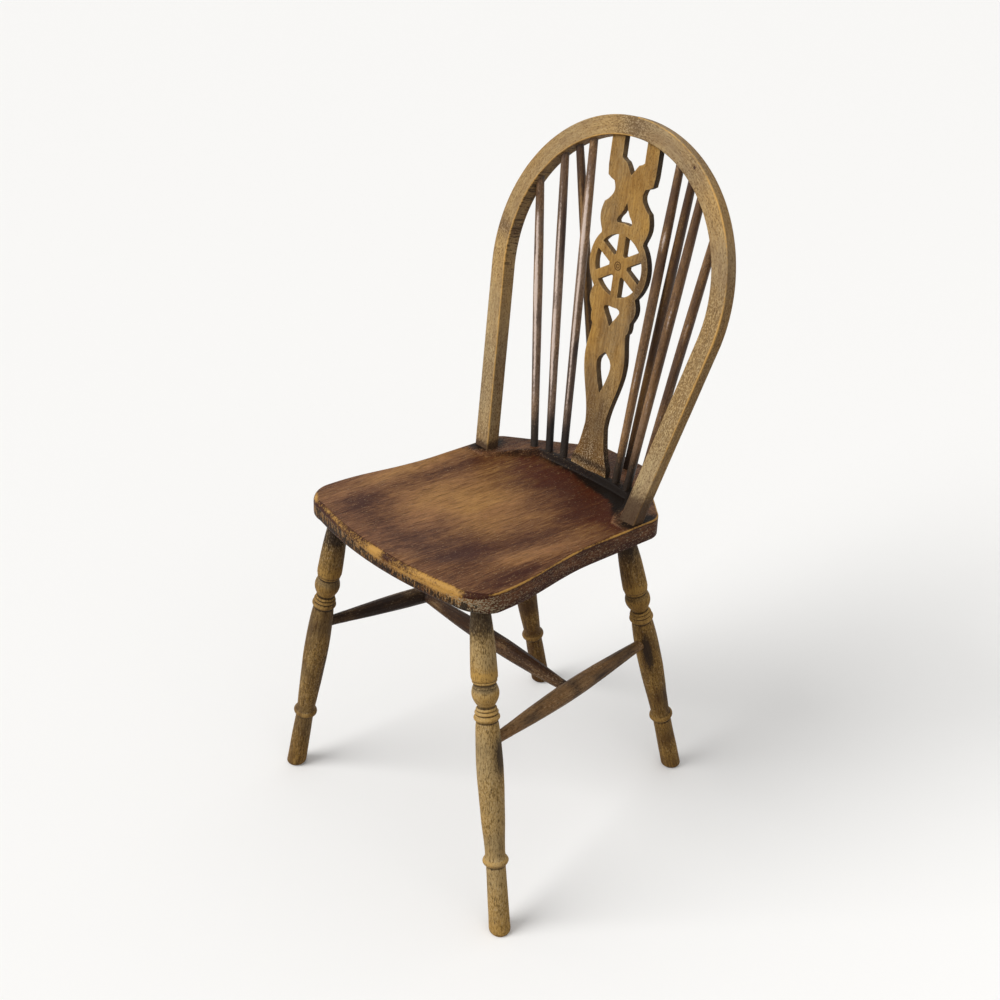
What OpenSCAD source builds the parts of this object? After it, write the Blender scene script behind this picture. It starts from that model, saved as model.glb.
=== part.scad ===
// Side chair with a bent bow, a pierced wheel splat and two tail braces.
// The floor is z = 0, the front faces -Y and the chair is symmetrical about x = 0.

/* [Overall] */
// Height of the seat's top face over the floor, at the middle of the front edge
seat_height = 459; // [420:1:490]
// Fall of the seat towards the back, in degrees
seat_slope = 3; // [0:0.5:5]
// Clearance on each side between a tenon and its socket
fit = 0.15; // [0.1:0.05:0.3]

/* [Seat] */
// Widest part of the seat, near the front corners
seat_width = 343; // [320:1:420]
// Width of the seat where the bow stands
waist_width = 311; // [300:1:400]
// From the middle of the front edge to the back of the tail
seat_depth = 428; // [400:1:460]
// Thickness of the board
seat_thickness = 28; // [24:1:34]
// Setback of the front edge at its corners
front_bow = 15; // [8:1:22]
// Radius of the two front corners
front_corner = 40; // [28:1:46]
// Width of the tail that carries the braces
tail_width = 76; // [66:1:100]
// How far forward of the tail's end the straight sides begin
flank_run = 94; // [88:1:106]
// Depth of the hollow at the ledge
dish_depth = 12; // [8:1:13]
// Height of the bevel under the front edge
front_bevel = 7; // [3:1:9]

/* [Legs] */
// Half the distance between the front feet
front_foot_x = 222; // [200:1:250]
// Front feet, forward of the middle of the chair
front_foot_y = 215; // [190:1:240]
// Half the distance between the back feet
back_foot_x = 138; // [125:1:190]
// Back feet, behind the middle of the chair
back_foot_y = 186; // [170:1:215]
// Half the distance between the front sockets
front_socket_x = 138; // [130:1:146]
// Front sockets, forward of the middle of the chair
front_socket_y = 172; // [160:1:180]
// Half the distance between the back sockets
back_socket_x = 116; // [108:1:118]
// Back sockets, behind the middle of the chair
back_socket_y = 89; // [86:1:96]
// Diameter of the leg where it meets the seat
leg_top_dia = 21; // [19:0.5:24]
// Diameter of the leg's tenon
leg_tenon_dia = 17; // [14:0.5:18]
// Depth of the leg's tenon in the seat
leg_tenon_length = 19; // [12:1:20]
// Largest diameter of the leg's shaft
leg_belly_dia = 33; // [28:0.5:38]
// Diameter of the foot
foot_dia = 27; // [24:0.5:30]

/* [Stretchers] */
// From the seat to the side stretcher, down the front leg
front_stretcher_drop = 182; // [168:1:200]
// From the seat to the side stretcher, down the back leg
back_stretcher_drop = 189; // [170:1:220]
// Diameter of a stretcher's ends
stretcher_end_dia = 14; // [11:0.5:15]
// Diameter of a stretcher's swelling
stretcher_belly_dia = 24.5; // [20:0.5:28]
// Where the middle stretcher meets the side ones, as a share of their length from the front
middle_share = 0.49; // [0.35:0.01:0.6]

/* [Bow] */
// Height of the bow over the seat, measured up its slope
bow_height = 477; // [430:1:520]
// Radius of the bow's centre line
bow_radius = 187; // [176:1:200]
// Half the distance between the middles of the bow's feet
bow_foot_x = 139; // [132:1:146]
// Front face of the bow's feet, behind the middle of the chair
bow_foot_y = 68; // [62:1:74]
// Backward lean of the bow, in degrees
bow_rake = 16.7; // [12:0.1:20]
// Width of the bow's front face
bow_width = 24.5; // [22:0.5:28]
// Depth of the bow from front to back
bow_depth = 23; // [20:0.5:26]
// Diameter of the tenons under the bow's feet
bow_tenon_dia = 17; // [14:0.5:18]

/* [Splat] */
// Front face of the splat at the seat, behind the middle of the chair
splat_y = 136.5; // [134:0.5:140]
// Backward lean of the splat, in degrees
splat_rake = 8.7; // [8:0.1:9.5]
// Thickness of the splat
splat_thickness = 9.5; // [7:0.5:11]
// Radius of the wheel
wheel_radius = 50.5; // [44:0.5:54]
// Height of the wheel's middle over the seat, up the splat
wheel_height = 279; // [270:1:290]
// Width of the wheel's rim
wheel_rim = 10.5; // [8:0.5:14]
// Width of a spoke
spoke_width = 12.5; // [9:0.5:15]
// Number of spokes
spokes = 6; // [5:1:8]

/* [Sticks] */
// Diameter of a stick at its ends
stick_end_dia = 10.6; // [8:0.2:11]
// Diameter of a stick at its middle
stick_belly_dia = 12.6; // [10:0.2:14]
// First stick from the middle, at the seat
stick_first_x = 50; // [48:1:56]
// Distance between sticks at the seat
stick_step_x = 24.2; // [18:0.1:25]
// First stick from the middle, as an angle up the bow
stick_first_angle = 66.5; // [64:0.5:68]
// Angle between sticks at the bow
stick_step_angle = 16; // [13:0.5:17]
// Half the distance between the braces at the tail
brace_x = 29; // [24:1:32]
// Braces at the tail, behind the middle of the chair
brace_y = 182; // [178:1:188]
// The braces' tops, as an angle up the bow
brace_angle = 58; // [56:0.5:60]

/* [Hidden] */
$fn = 48;
left = -1;
right = 1;
big = 900;

bow_wood = "#b8935a";
seat_wood = "#7a5436";
stick_wood = "#7b6152";
leg_wood = "#9a8161";
stretcher_wood = "#6f4f3c";
iron = "#2b2622";

// Seat outline
seat_front = -222;
seat_back = seat_front + seat_depth;
shoulder_y = seat_back - flank_run;
back_corner = 26;
tail_corner = 14;
side_run = 150;

// Hollow of the seat
ledge_y = splat_y - 1;
ledge_curve = 0.0013;
ledge_half = 92;
ledge_corner = 18;
dish_across = 1000;
dish_along = 3000;
dish_middle_y = 55;
bevel_run = 13;
hollow_end = [[99, 104], [112, 72], [124, 56], [230, 40]];

// Turned legs, measured down from the seat
leg_tuck = 8;
vase_end = 91;
groove_at = 100.5;
ball_end = 130;
cap_end = 150;
ring_up = 104;
ring_down = 95;
foot_round = 6;
foot_edge = 0.6;

// Bow
bow_outer_round = 10;
bow_inner_round = 5;
bow_tenon_r = bow_tenon_dia / 2;
bow_rise = bow_height - bow_radius - bow_width / 2;
foot_angle = atan2(bow_rise, bow_foot_x);
bow_lean = foot_angle - acos(bow_radius / norm([bow_foot_x, bow_rise]));
bow_leg = 340;
wedge_depth = 15;
wedge_thickness = 2.4;
nail_angle = 57;
nail_dia = 3.2;
nail_length = 11;
nail_sunk = 0.6;

// Splat
splat_tenon = 14;
horn_tenon = 9;
horn_in = 19;
horn_out = 40.5;
crotch = [[horn_in, 413], [15.5, 410.5], [10.5, 408.5], [6.5, 403.5], [3, 398], [0, 394.5]];

// Sticks and stretchers
stick_socket = 15;
stick_back = 7;
stick_share = 0.38;
past_axis = 2;
short_of_axis = 3;

// Front and back of the whole chair, and the move that centres it on the origin
y_front = min(seat_front, foot_edge - front_foot_y - foot_dia / 2);
y_back = bow_foot_y + (bow_height - bow_outer_round) * sin(bow_rake)
    + (bow_depth - bow_outer_round) * cos(bow_rake) + bow_outer_round;
y_shift = -(y_front + y_back) / 2;

function lerp(a, b, t) = a + (b - a) * t;
function seat_top(y) = seat_height - (y - seat_front) * tan(seat_slope);
function seat_under(y) = seat_top(y) - seat_thickness / cos(seat_slope);

// A run of the turned outline from [d0, r0] to [d1, r1] that stands out by swell
function turned(d0, r0, d1, r1, swell, n = 8, skew = 1) = [
    for (i = [0:n]) let (t = i / n)
        [lerp(r0, r1, t) + swell * sin(180 * pow(t, skew)), lerp(d0, d1, t)]
];

function arc(c, r, a0, a1, n = 8) = [
    for (i = [0:n]) c + r * [cos(lerp(a0, a1, i / n)), sin(lerp(a0, a1, i / n))]
];

// Points on the axes of the legs
function leg_top(end, side) = end == "front"
    ? [side * front_socket_x, -front_socket_y, seat_under(-front_socket_y)]
    : [side * back_socket_x, back_socket_y, seat_under(back_socket_y)];
function leg_foot(end, side) = end == "front"
    ? [side * front_foot_x, -front_foot_y, 0]
    : [side * back_foot_x, back_foot_y, 0];
function leg_length(end, side) = norm(leg_foot(end, side) - leg_top(end, side));
function leg_point(end, side, d) =
    lerp(leg_top(end, side), leg_foot(end, side), d / leg_length(end, side));

// Ends of the stretchers' axes
function side_front(side) = leg_point("front", side, front_stretcher_drop);
function side_back(side) = leg_point("back", side, back_stretcher_drop);
function middle_end(side) = lerp(side_front(side), side_back(side), middle_share);

// A point of the bow: x across, w up its slope, deep behind its front face
function bow_point(x, w, deep) = [
    x,
    bow_foot_y + w * sin(bow_rake) + deep * cos(bow_rake),
    seat_top(bow_foot_y) + w * cos(bow_rake) - deep * sin(bow_rake)
];
function bow_arc_point(angle, r, deep) =
    bow_point(r * cos(angle), bow_rise + r * sin(angle), deep);
function foot_point(side, w) = bow_point(side * (bow_foot_x + w * tan(bow_lean)), w, bow_depth / 2);

// Sticks: n counts outwards from the middle, 0 to 2
function stick_x(n) = stick_first_x + n * stick_step_x;
function stick_y(n) = ledge_y + stick_back - ledge_curve * pow(stick_x(n), 2);
function stick_low(n, side) = [side * stick_x(n), stick_y(n), seat_top(stick_y(n))];
function stick_high(n, side) = let (a = stick_first_angle - n * stick_step_angle)
    bow_arc_point(side > 0 ? a : 180 - a, bow_radius, stick_share * bow_depth);
function brace_low(side) = [side * brace_x, brace_y, seat_top(brace_y)];
function brace_high(side) =
    bow_arc_point(side > 0 ? brace_angle : 180 - brace_angle, bow_radius, stick_share * bow_depth);

// Tops of the horns: where the bow's inside passes over their middles, plus the tenon
bow_inside = bow_rise
    + sqrt(pow(bow_radius - bow_width / 2, 2) - pow((horn_in + horn_out) / 2, 2));
horn_rise = bow_point(0, bow_inside, bow_depth / 2).z - seat_top(splat_y);
horn_top = horn_rise / cos(splat_rake) + horn_tenon;

// The splat is drawn for one length under the bow and scaled to the real one
splat_drawn = 436.276;
splat_scale = (horn_top - horn_tenon) / splat_drawn;

// Turns local +Z from a towards b, with a at the origin
module along(a, b) {
    v = b - a;
    translate(a)
        rotate([0, acos(v.z / norm(v)), atan2(v.y, v.x)])
            children();
}

// A round bar on the line from a to b, from before a to past b
module bar(a, b, r, before, past) {
    along(a, b)
        translate([0, 0, -before])
            cylinder(r = r, h = norm(b - a) + before + past);
}

module placed() {
    translate([0, y_shift, 0]) children();
}

module in_seat() {
    translate([0, 0, seat_top(0)])
        rotate([-seat_slope, 0, 0])
            children();
}

module in_bow() {
    translate([0, bow_foot_y, seat_top(bow_foot_y)])
        rotate([90 - bow_rake, 0, 0])
            children();
}

module in_splat() {
    translate([0, splat_y, seat_top(splat_y)])
        rotate([90 - splat_rake, 0, 0])
            children();
}

module below_seat() {
    in_seat() translate([-big / 2, -big / 2, -seat_thickness - big]) cube(big);
}

// ---- Seat

// Right half of the outline, from the middle of the front to the middle of the back
function seat_half() = let (
    w = seat_width / 2,
    c = waist_width / 2,
    corner = [w - front_corner, seat_front + front_bow + front_corner],
    turn = atan2(c - tail_width / 2, seat_back - shoulder_y)
) concat(
    [for (i = [0:8]) let (x = corner.x * i / 8)
        [x, seat_front + front_bow * pow(x / corner.x, 2)]],
    arc(corner, front_corner, -80, 0, 10),
    [for (i = [1:12]) let (t = i / 12)
        [lerp(w, c, (1 - cos(180 * t)) / 2), corner.y + 10 + side_run * t]],
    arc([c - back_corner, shoulder_y - back_corner * tan(turn / 2)], back_corner, 0, turn, 8),
    arc([tail_width / 2 - tail_corner * tan(45 - turn / 2), seat_back - tail_corner],
        tail_corner, turn, 90, 6)
);

module seat_outline() {
    half = seat_half();
    polygon(concat(half, [for (i = [len(half) - 2:-1:1]) [-half[i].x, half[i].y]]));
}

module hollow_outline() {
    back = [for (i = [0:6]) let (x = ledge_half * i / 6 - (i == 6 ? ledge_corner / 2 : 0))
        [x, ledge_y - ledge_curve * x * x]];
    half = concat(back, hollow_end);
    last = hollow_end[len(hollow_end) - 1];
    polygon(concat(half, [[last.x, -big / 2], [-last.x, -big / 2]],
        [for (i = [len(half) - 1:-1:1]) [-half[i].x, half[i].y]]));
}

// Barrel whose underside is the hollow: one radius across the seat, one along it
module hollow_barrel() {
    n = 14;
    half = 320;
    profile = [for (i = [-n:n]) let (y = half * i / n)
        [dish_across - y * y / (2 * dish_along), y]];
    translate([0, dish_middle_y, dish_across - dish_depth])
        rotate([-90, 0, 0])
            rotate_extrude($fn = 360)
                polygon(concat([[0, -half]], profile, [[0, half]]));
}

module front_bevel_cut() {
    r = pow(seat_width / 2 - front_corner, 2) / (2 * front_bow);
    sweep = 44;
    past = 9;
    below = 1;
    translate([0, seat_front + r, -seat_thickness])
        rotate([0, 0, -90 - sweep / 2])
            rotate_extrude(angle = sweep)
                polygon([[r - bevel_run, -below], [r + past, -below], [r + past, front_bevel + past / 2],
                    [r - bevel_run / 10, front_bevel], [r - bevel_run, 0]]);
}

module leg_sockets() {
    for (end = ["front", "back"], side = [left, right]) {
        along(leg_foot(end, side), leg_top(end, side))
            translate([0, 0, leg_length(end, side) - leg_tuck])
                cylinder(d = leg_tenon_dia + 2 * fit, h = leg_tuck + leg_tenon_length);
    }
}

module stick_sockets(grow) {
    for (n = [0:2], side = [left, right])
        bar(stick_low(n, side), stick_high(n, side), stick_end_dia / 2 + grow, stick_socket, 0);
    for (side = [left, right])
        bar(brace_low(side), brace_high(side), stick_end_dia / 2 + grow, stick_socket, 0);
}

module seat() {
    color(seat_wood)
        placed() difference() {
            in_seat() difference() {
                translate([0, 0, -seat_thickness])
                    linear_extrude(seat_thickness) seat_outline();
                intersection() {
                    translate([0, 0, -2 * dish_depth])
                        linear_extrude(4 * dish_depth) hollow_outline();
                    hollow_barrel();
                }
                front_bevel_cut();
            }
            leg_sockets();
            stick_sockets(fit);
            for (side = [left, right]) bow_tenon(side, fit);
            in_splat() splat_tenon_block(fit);
        }
}

// ---- Bow

module bow_section() {
    outer = bow_outer_round;
    inner = bow_inner_round;
    half = bow_width / 2;
    translate([-half + inner, -bow_depth]) square([bow_width - inner - outer, bow_depth]);
    translate([half - outer - 0.1, -bow_depth + outer]) square([outer + 0.1, bow_depth - outer]);
    translate([-half, -bow_depth + inner]) square([inner + 0.1, bow_depth - inner]);
    translate([half - outer, -bow_depth + outer]) circle(outer);
    translate([-half + inner, -bow_depth + inner]) circle(inner);
}

module bow_hoop() {
    translate([0, bow_rise, 0]) {
        rotate([0, 0, -bow_lean])
            rotate_extrude(angle = 180 + 2 * bow_lean, $fn = 96)
                translate([bow_radius, 0]) bow_section();
        for (side = [0, 1])
            mirror([side, 0, 0])
                rotate([0, 0, -bow_lean])
                    translate([bow_radius, 0, 0])
                        rotate([90, 0, 0])
                            linear_extrude(bow_leg) bow_section();
    }
}

module bow_tenon(side, grow) {
    bar(foot_point(side, -70), foot_point(side, 10), bow_tenon_r + grow, 0, 0);
}

// Slot and wedge share this outline: thick at the underside, thin at the top
module wedge_shape(side, grow) {
    base = foot_point(side, 0);
    low = foot_point(side, -10);
    along(base, low)
        translate([0, 0, seat_thickness / cos(bow_rake) - wedge_depth])
            rotate([0, 0, 90])
                rotate([90, 0, 0])
                    translate([0, 0, -bow_tenon_r + 1.2 - grow])
                        linear_extrude(2 * bow_tenon_r - 2.4 + 2 * grow)
                            polygon([[-0.5 - grow, 0], [0.5 + grow, 0],
                                [wedge_thickness / 2 + grow, wedge_depth + 12],
                                [-wedge_thickness / 2 - grow, wedge_depth + 12]]);
}

// The nail stops short of the front face, its hole runs out through it
module nail_shape(grow, top) {
    in_bow() translate([0, bow_rise, 0])
        rotate([0, 0, nail_angle])
            translate([bow_radius + 4, 0, -nail_length])
                cylinder(d = nail_dia + 2 * grow, h = nail_length + top);
}

module bow() {
    color(bow_wood)
        placed() difference() {
            union() {
                difference() {
                    in_bow() bow_hoop();
                    in_seat() translate([-big / 2, -big / 2, -big]) cube(big);
                }
                difference() {
                    for (side = [left, right]) bow_tenon(side, 0);
                    below_seat();
                }
            }
            for (side = [left, right]) wedge_shape(side, fit / 2);
            stick_sockets(fit);
            in_splat() horn_mortises(fit);
            nail_shape(fit / 2, 1);
        }
}

module bow_wedge(side) {
    color(bow_wood)
        placed() difference() {
            wedge_shape(side, 0);
            below_seat();
        }
}

module bow_nail() {
    color(iron)
        placed() nail_shape(0, -nail_sunk);
}

// ---- Splat

// Right half of the outline, from the base to the top of the horn
function splat_half(top) = concat(
    [[32.5, 0], [32.2, 9]],
    turned(13, 30.8, 62, 17.5, -2.6, 8, 0.7),
    [for (i = [1:10]) let (t = i / 10) [lerp(17.5, 35.5, (1 - cos(180 * t)) / 2), lerp(62, 155, t)]],
    [for (i = [1:6]) let (t = i / 6) [lerp(35.5, 30.3, (1 - cos(180 * t)) / 2), lerp(155, 196, t)]],
    [[33.3, 199.5], [34.3, 205]],
    turned(212, 34.2, wheel_height - 35, wheel_radius - 13.5, 5.4, 7),
    arc([0, wheel_height], wheel_radius, -43, 44, 14),
    turned(wheel_height + 38, wheel_radius - 14, 354, 38.5, 5, 7),
    turned(357.5, 33.5, 382, 27, -5.8, 8),
    [[33, 384], [38.8, 387.5], [40.4, 400], [horn_out, 412], [horn_out, top]]
);

module mirrored_outline(half) {
    polygon(concat(half, [for (i = [len(half) - 1:-1:0]) [-half[i].x, half[i].y]]));
}

module splat_outline() {
    top = horn_top / splat_scale;
    half = concat(splat_half(top), [[horn_in, top]], crotch);
    last = len(half) - 1;
    polygon(concat(half, [for (i = [last - 1:-1:0]) [-half[i].x, half[i].y]]));
}

module wheel_piercing() {
    translate([0, wheel_height])
        difference() {
            circle(wheel_radius - wheel_rim);
            circle(1.25 * spoke_width);
            for (i = [0:spokes - 1])
                rotate(90 + i * 360 / spokes)
                    translate([0, -spoke_width / 2]) square([wheel_radius, spoke_width]);
        }
}

module drop_piercings() {
    // Bell over the wheel
    mirrored_outline([[0.6, 358.5], [3.2, 351], [7, 344.5], [11.8, 339],
        [13.3, 335], [12, 332.8], [0.1, 334]]);
    // Small drop under the wheel
    mirrored_outline([[0.1, 225], [9, 225.3], [13, 223.6], [13.8, 220.5],
        [9.8, 214], [5.2, 208], [0.6, 200]]);
    // Long drop in the waist
    mirrored_outline([[0.5, 164.4], [4.6, 160.5], [9.4, 156], [12, 150.5], [12.2, 145],
        [10.8, 137], [8, 128], [4.6, 119], [0.5, 109.3]]);
}

module splat_body() {
    translate([0, 0, -splat_thickness])
        linear_extrude(splat_thickness)
            scale(splat_scale)
                difference() {
                    splat_outline();
                    wheel_piercing();
                    drop_piercings();
                }
}

module splat_tenon_block(grow) {
    translate([-24 - grow, -splat_tenon - grow, -splat_thickness + 1 - grow])
        cube([48 + 2 * grow, splat_tenon + 6, splat_thickness - 4.5 + 2 * grow]);
}

module horn_mortises(grow) {
    for (s = [0, 1])
        mirror([s, 0, 0])
            translate([horn_in * splat_scale - grow, horn_top - 40, -splat_thickness - grow])
                cube([(horn_out - horn_in) * splat_scale + 2 * grow, 40 + grow,
                    splat_thickness + 2 * grow]);
}

module splat() {
    color(bow_wood)
        placed() {
            difference() {
                in_splat() splat_body();
                in_seat() translate([-big / 2, -big / 2, -big]) cube(big);
            }
            in_splat() splat_tenon_block(0);
        }
}

// ---- Sticks

module stick(low, high, socket) {
    end_r = stick_end_dia / 2;
    swell = (stick_belly_dia - stick_end_dia) / 2;
    length = norm(high - low);
    along(low, high)
        rotate_extrude()
            polygon(concat(
                [[0, -socket], [end_r, -socket]],
                turned(6, end_r, length - bow_width / 2 - 8, end_r, swell, 14, 1.6),
                [[end_r, length], [0, length]]));
}

module spindle(number) {
    side = number <= 3 ? left : right;
    n = number <= 3 ? 3 - number : number - 4;
    color(stick_wood)
        placed() stick(stick_low(n, side), stick_high(n, side), stick_socket);
}

module brace(side) {
    color(stick_wood)
        placed() stick(brace_low(side), brace_high(side), stick_socket);
}

// ---- Legs

function leg_profile(length) = concat(
    [[0, -leg_tuck], [leg_top_dia / 2, -leg_tuck]],
    turned(0, leg_top_dia / 2, vase_end, leg_belly_dia / 2, 1.2, 8),
    turned(vase_end + 1, leg_belly_dia / 2 - 0.2, groove_at - 3, 14.8, 0.7, 3),
    turned(groove_at - 3, 14.8, groove_at, 14.4, 0.8, 4),
    [[13.4, groove_at + 0.5]],
    turned(groove_at + 2, 13.6, ball_end, 11.2, leg_belly_dia / 2 - 12.2, 12),
    [[10.9, ball_end + 1], [10.9, ball_end + 3]],
    turned(ball_end + 3, 11.6, ball_end + 6.5, 11.8, 1.2, 4),
    turned(ball_end + 7, 12.6, ball_end + 11.5, 12.8, 1.9, 5),
    turned(ball_end + 12, 13.4, cap_end, 13.5, 2.6, 7),
    turned(cap_end + 0.5, 13.2, length - ring_up - 6, 12.6, leg_belly_dia / 2 - 13, 16, 0.7),
    turned(length - ring_up - 5, 12.8, length - ring_up, 14.2, -0.4, 3),
    turned(length - ring_up, 14.2, length - ring_down, 13.8, 2.3, 6),
    turned(length - ring_down + 0.5, 12.2, length - foot_round, foot_dia / 2, 0, 2),
    turned(length - foot_round, foot_dia / 2, length + 1, foot_dia / 2 - 3.5, 0.9, 4),
    [[0, length + 1]]
);

module leg(end, side) {
    length = leg_length(end, side);
    color(leg_wood)
        placed() difference() {
            union() {
                difference() {
                    along(leg_top(end, side), leg_foot(end, side))
                        rotate_extrude() polygon(leg_profile(length));
                    in_seat() translate([-big / 2, -big / 2, -seat_thickness]) cube(big);
                }
                along(leg_foot(end, side), leg_top(end, side))
                    translate([0, 0, length - leg_tuck])
                        cylinder(d = leg_tenon_dia, h = leg_tuck + leg_tenon_length - 0.5);
            }
            translate([-big / 2, -big / 2, -big]) cube(big);
            bar(side_front(side), side_back(side), stretcher_end_dia / 2 + fit,
                past_axis + 0.5, past_axis + 0.5);
        }
}

// ---- Stretchers

module stretcher(a, b, past, stub) {
    end_r = stretcher_end_dia / 2;
    swell = (stretcher_belly_dia - stretcher_end_dia) / 2;
    length = norm(b - a);
    along(a, b)
        rotate_extrude()
            polygon(concat(
                [[0, -past], [end_r, -past]],
                turned(stub, end_r, length - stub, end_r, swell, 16),
                [[end_r, length + past], [0, length + past]]));
}

module side_stretcher(side) {
    color(stretcher_wood)
        placed() difference() {
            stretcher(side_front(side), side_back(side), past_axis, 22);
            bar(middle_end(left), middle_end(right), stretcher_end_dia / 2 + fit,
                -short_of_axis + 0.5, -short_of_axis + 0.5);
        }
}

module middle_stretcher() {
    color(stretcher_wood)
        placed() stretcher(middle_end(left), middle_end(right), -short_of_axis, 20);
}

// ---- Pieces

seat();
bow();
splat();
spindle(1);  // spindle_1
spindle(2);  // spindle_2
spindle(3);  // spindle_3
spindle(4);  // spindle_4
spindle(5);  // spindle_5
spindle(6);  // spindle_6
brace(left);  // brace_left
brace(right);  // brace_right
leg("front", left);  // leg_front_left
leg("front", right);  // leg_front_right
leg("back", left);  // leg_back_left
leg("back", right);  // leg_back_right
side_stretcher(left);  // stretcher_left
side_stretcher(right);  // stretcher_right
middle_stretcher();  // stretcher_middle
bow_wedge(left);  // bow_wedge_left
bow_wedge(right);  // bow_wedge_right
bow_nail();
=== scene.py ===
from math import acos, atan2, cos, pi, radians, sin, sqrt, tan

import bmesh
import bpy
import numpy as np
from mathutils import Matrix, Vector
from mathutils.geometry import delaunay_2d_cdt


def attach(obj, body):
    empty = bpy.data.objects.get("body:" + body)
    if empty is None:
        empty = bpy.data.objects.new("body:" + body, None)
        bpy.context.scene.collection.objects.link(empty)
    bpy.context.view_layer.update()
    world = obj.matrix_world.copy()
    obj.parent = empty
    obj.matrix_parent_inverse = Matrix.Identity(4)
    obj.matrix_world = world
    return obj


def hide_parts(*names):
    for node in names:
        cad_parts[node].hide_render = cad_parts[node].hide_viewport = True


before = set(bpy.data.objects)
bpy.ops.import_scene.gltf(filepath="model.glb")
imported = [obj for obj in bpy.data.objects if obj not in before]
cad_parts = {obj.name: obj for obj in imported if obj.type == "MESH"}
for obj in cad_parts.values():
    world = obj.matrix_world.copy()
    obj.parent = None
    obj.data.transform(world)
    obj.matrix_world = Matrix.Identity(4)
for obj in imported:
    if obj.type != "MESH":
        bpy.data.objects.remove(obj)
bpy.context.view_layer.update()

scene = bpy.context.scene
mm = 0.001
print("chair loaded:", len(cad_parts), "nodes")

# camera, floor and lights
studio = {
    "cameraPlace": (1.265307, -1.130038, 1.385779),
    "cameraTilt": 60.957,
    "cameraSwing": 48.688,
    "lens": 54.42,
    "floorTint": "#f3f2f0",
    "floorBounce": "#6f5a44",  # what the floor throws back at the chair
    "worldLevel": 0.57,
    "keyLevel": 2.5,
    "keySpread": 42.0,         # degrees across: soft shadow edges
    "keyPlace": (-0.9, -2.3, 2.3),
    "fillPower": 8.0,
    "fillSize": 2.2,
    "fillPlace": (2.4, -0.6, 1.6),
    "aimAt": (0.0, 0.0, 0.45),
}


def tint(code):
    # hex colour to linear light: each channel's display curve undone
    channel = np.array([int(code[i:i + 2], 16) for i in (1, 3, 5)]) / 255
    linear = np.where(channel <= 0.04045, channel / 12.92, ((channel + 0.055) / 1.055) ** 2.4)
    return (*linear.tolist(), 1.0)


class Wire:
    # a value in a shader: plain arithmetic on it adds the Math node it needs
    def __init__(self, recipe, socket):
        self.recipe = recipe
        self.socket = socket

    def __add__(self, other):
        return self.recipe.maths("ADD", self, other)

    __radd__ = __add__

    def __sub__(self, other):
        return self.recipe.maths("SUBTRACT", self, other)

    def __rsub__(self, other):
        return self.recipe.maths("SUBTRACT", other, self)

    def __mul__(self, other):
        return self.recipe.maths("MULTIPLY", self, other)

    __rmul__ = __mul__


class Recipe:
    # one material and the nodes it is cooked from
    def __init__(self, name, tree=None):
        if tree is None:
            self.material = bpy.data.materials.new(name)
            self.material.use_nodes = True
            tree = self.material.node_tree
        self.tree = tree
        self.tree.nodes.clear()

    def node(self, kind, settings=None, sockets=None):
        made = self.tree.nodes.new(kind)
        for key, value in (settings or {}).items():
            setattr(made, key, value)
        for key, value in (sockets or {}).items():
            if isinstance(value, Wire):
                value = value.socket
            if isinstance(value, bpy.types.NodeSocket):
                self.tree.links.new(value, made.inputs[key])
            else:
                made.inputs[key].default_value = value
        return made

    def maths(self, operation, first, second=0.0):
        made = self.node("ShaderNodeMath", {"operation": operation}, {0: first, 1: second})
        return Wire(self, made.outputs[0])

    def mark(self, name, output="Fac"):
        made = self.node("ShaderNodeAttribute", {"attribute_name": name})
        return Wire(self, made.outputs[output])

    def noise(self, vector, cycles, detail=2.0, roughness=0.5, shift=0.0):
        # cycles per metre along each axis of the vector
        placed = self.node("ShaderNodeVectorMath", {"operation": "MULTIPLY_ADD"},
                           {0: vector, 1: cycles, 2: (shift, shift * 1.7, shift * 0.6)})
        made = self.node("ShaderNodeTexNoise", None, {
            "Vector": placed.outputs[0], "Scale": 1.0, "Detail": detail, "Roughness": roughness})
        return Wire(self, made.outputs[0])

    def step(self, value, low, high):
        # eases from 0 at low to 1 at high
        made = self.node("ShaderNodeMapRange", {"interpolation_type": "SMOOTHSTEP"}, {
            "Value": value, "From Min": low, "From Max": high})
        return Wire(self, made.outputs[0])

    def blend(self, factor, first, second, mode="MIX"):
        made = self.node("ShaderNodeMix", {"data_type": "RGBA", "blend_type": mode},
                         {0: factor, 6: first, 7: second})
        return Wire(self, made.outputs[2])

    def part(self, vector, axis):
        made = self.node("ShaderNodeSeparateXYZ", None, {0: vector})
        return Wire(self, made.outputs[axis])

    def finish(self, shader, output="ShaderNodeOutputMaterial"):
        self.node(output, None, {0: shader})

    def surface(self, colour, roughness, height, strength, distance, **more):
        # a principled shader with its bump; more holds its other sockets
        bump = self.node("ShaderNodeBump", None, {
            "Strength": strength, "Distance": distance, "Height": height})
        shader = self.node("ShaderNodeBsdfPrincipled", None, {
            "Base Color": colour, "Roughness": roughness, "Normal": bump.outputs[0], **more})
        self.finish(shader.outputs[0])
        return self.material


def aim(thing, place, target):
    # puts a lamp at its place with its own -Z axis towards the target
    thing.location = place
    thing.rotation_euler = (Vector(target) - Vector(place)).to_track_quat("-Z", "Y").to_euler()


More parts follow.
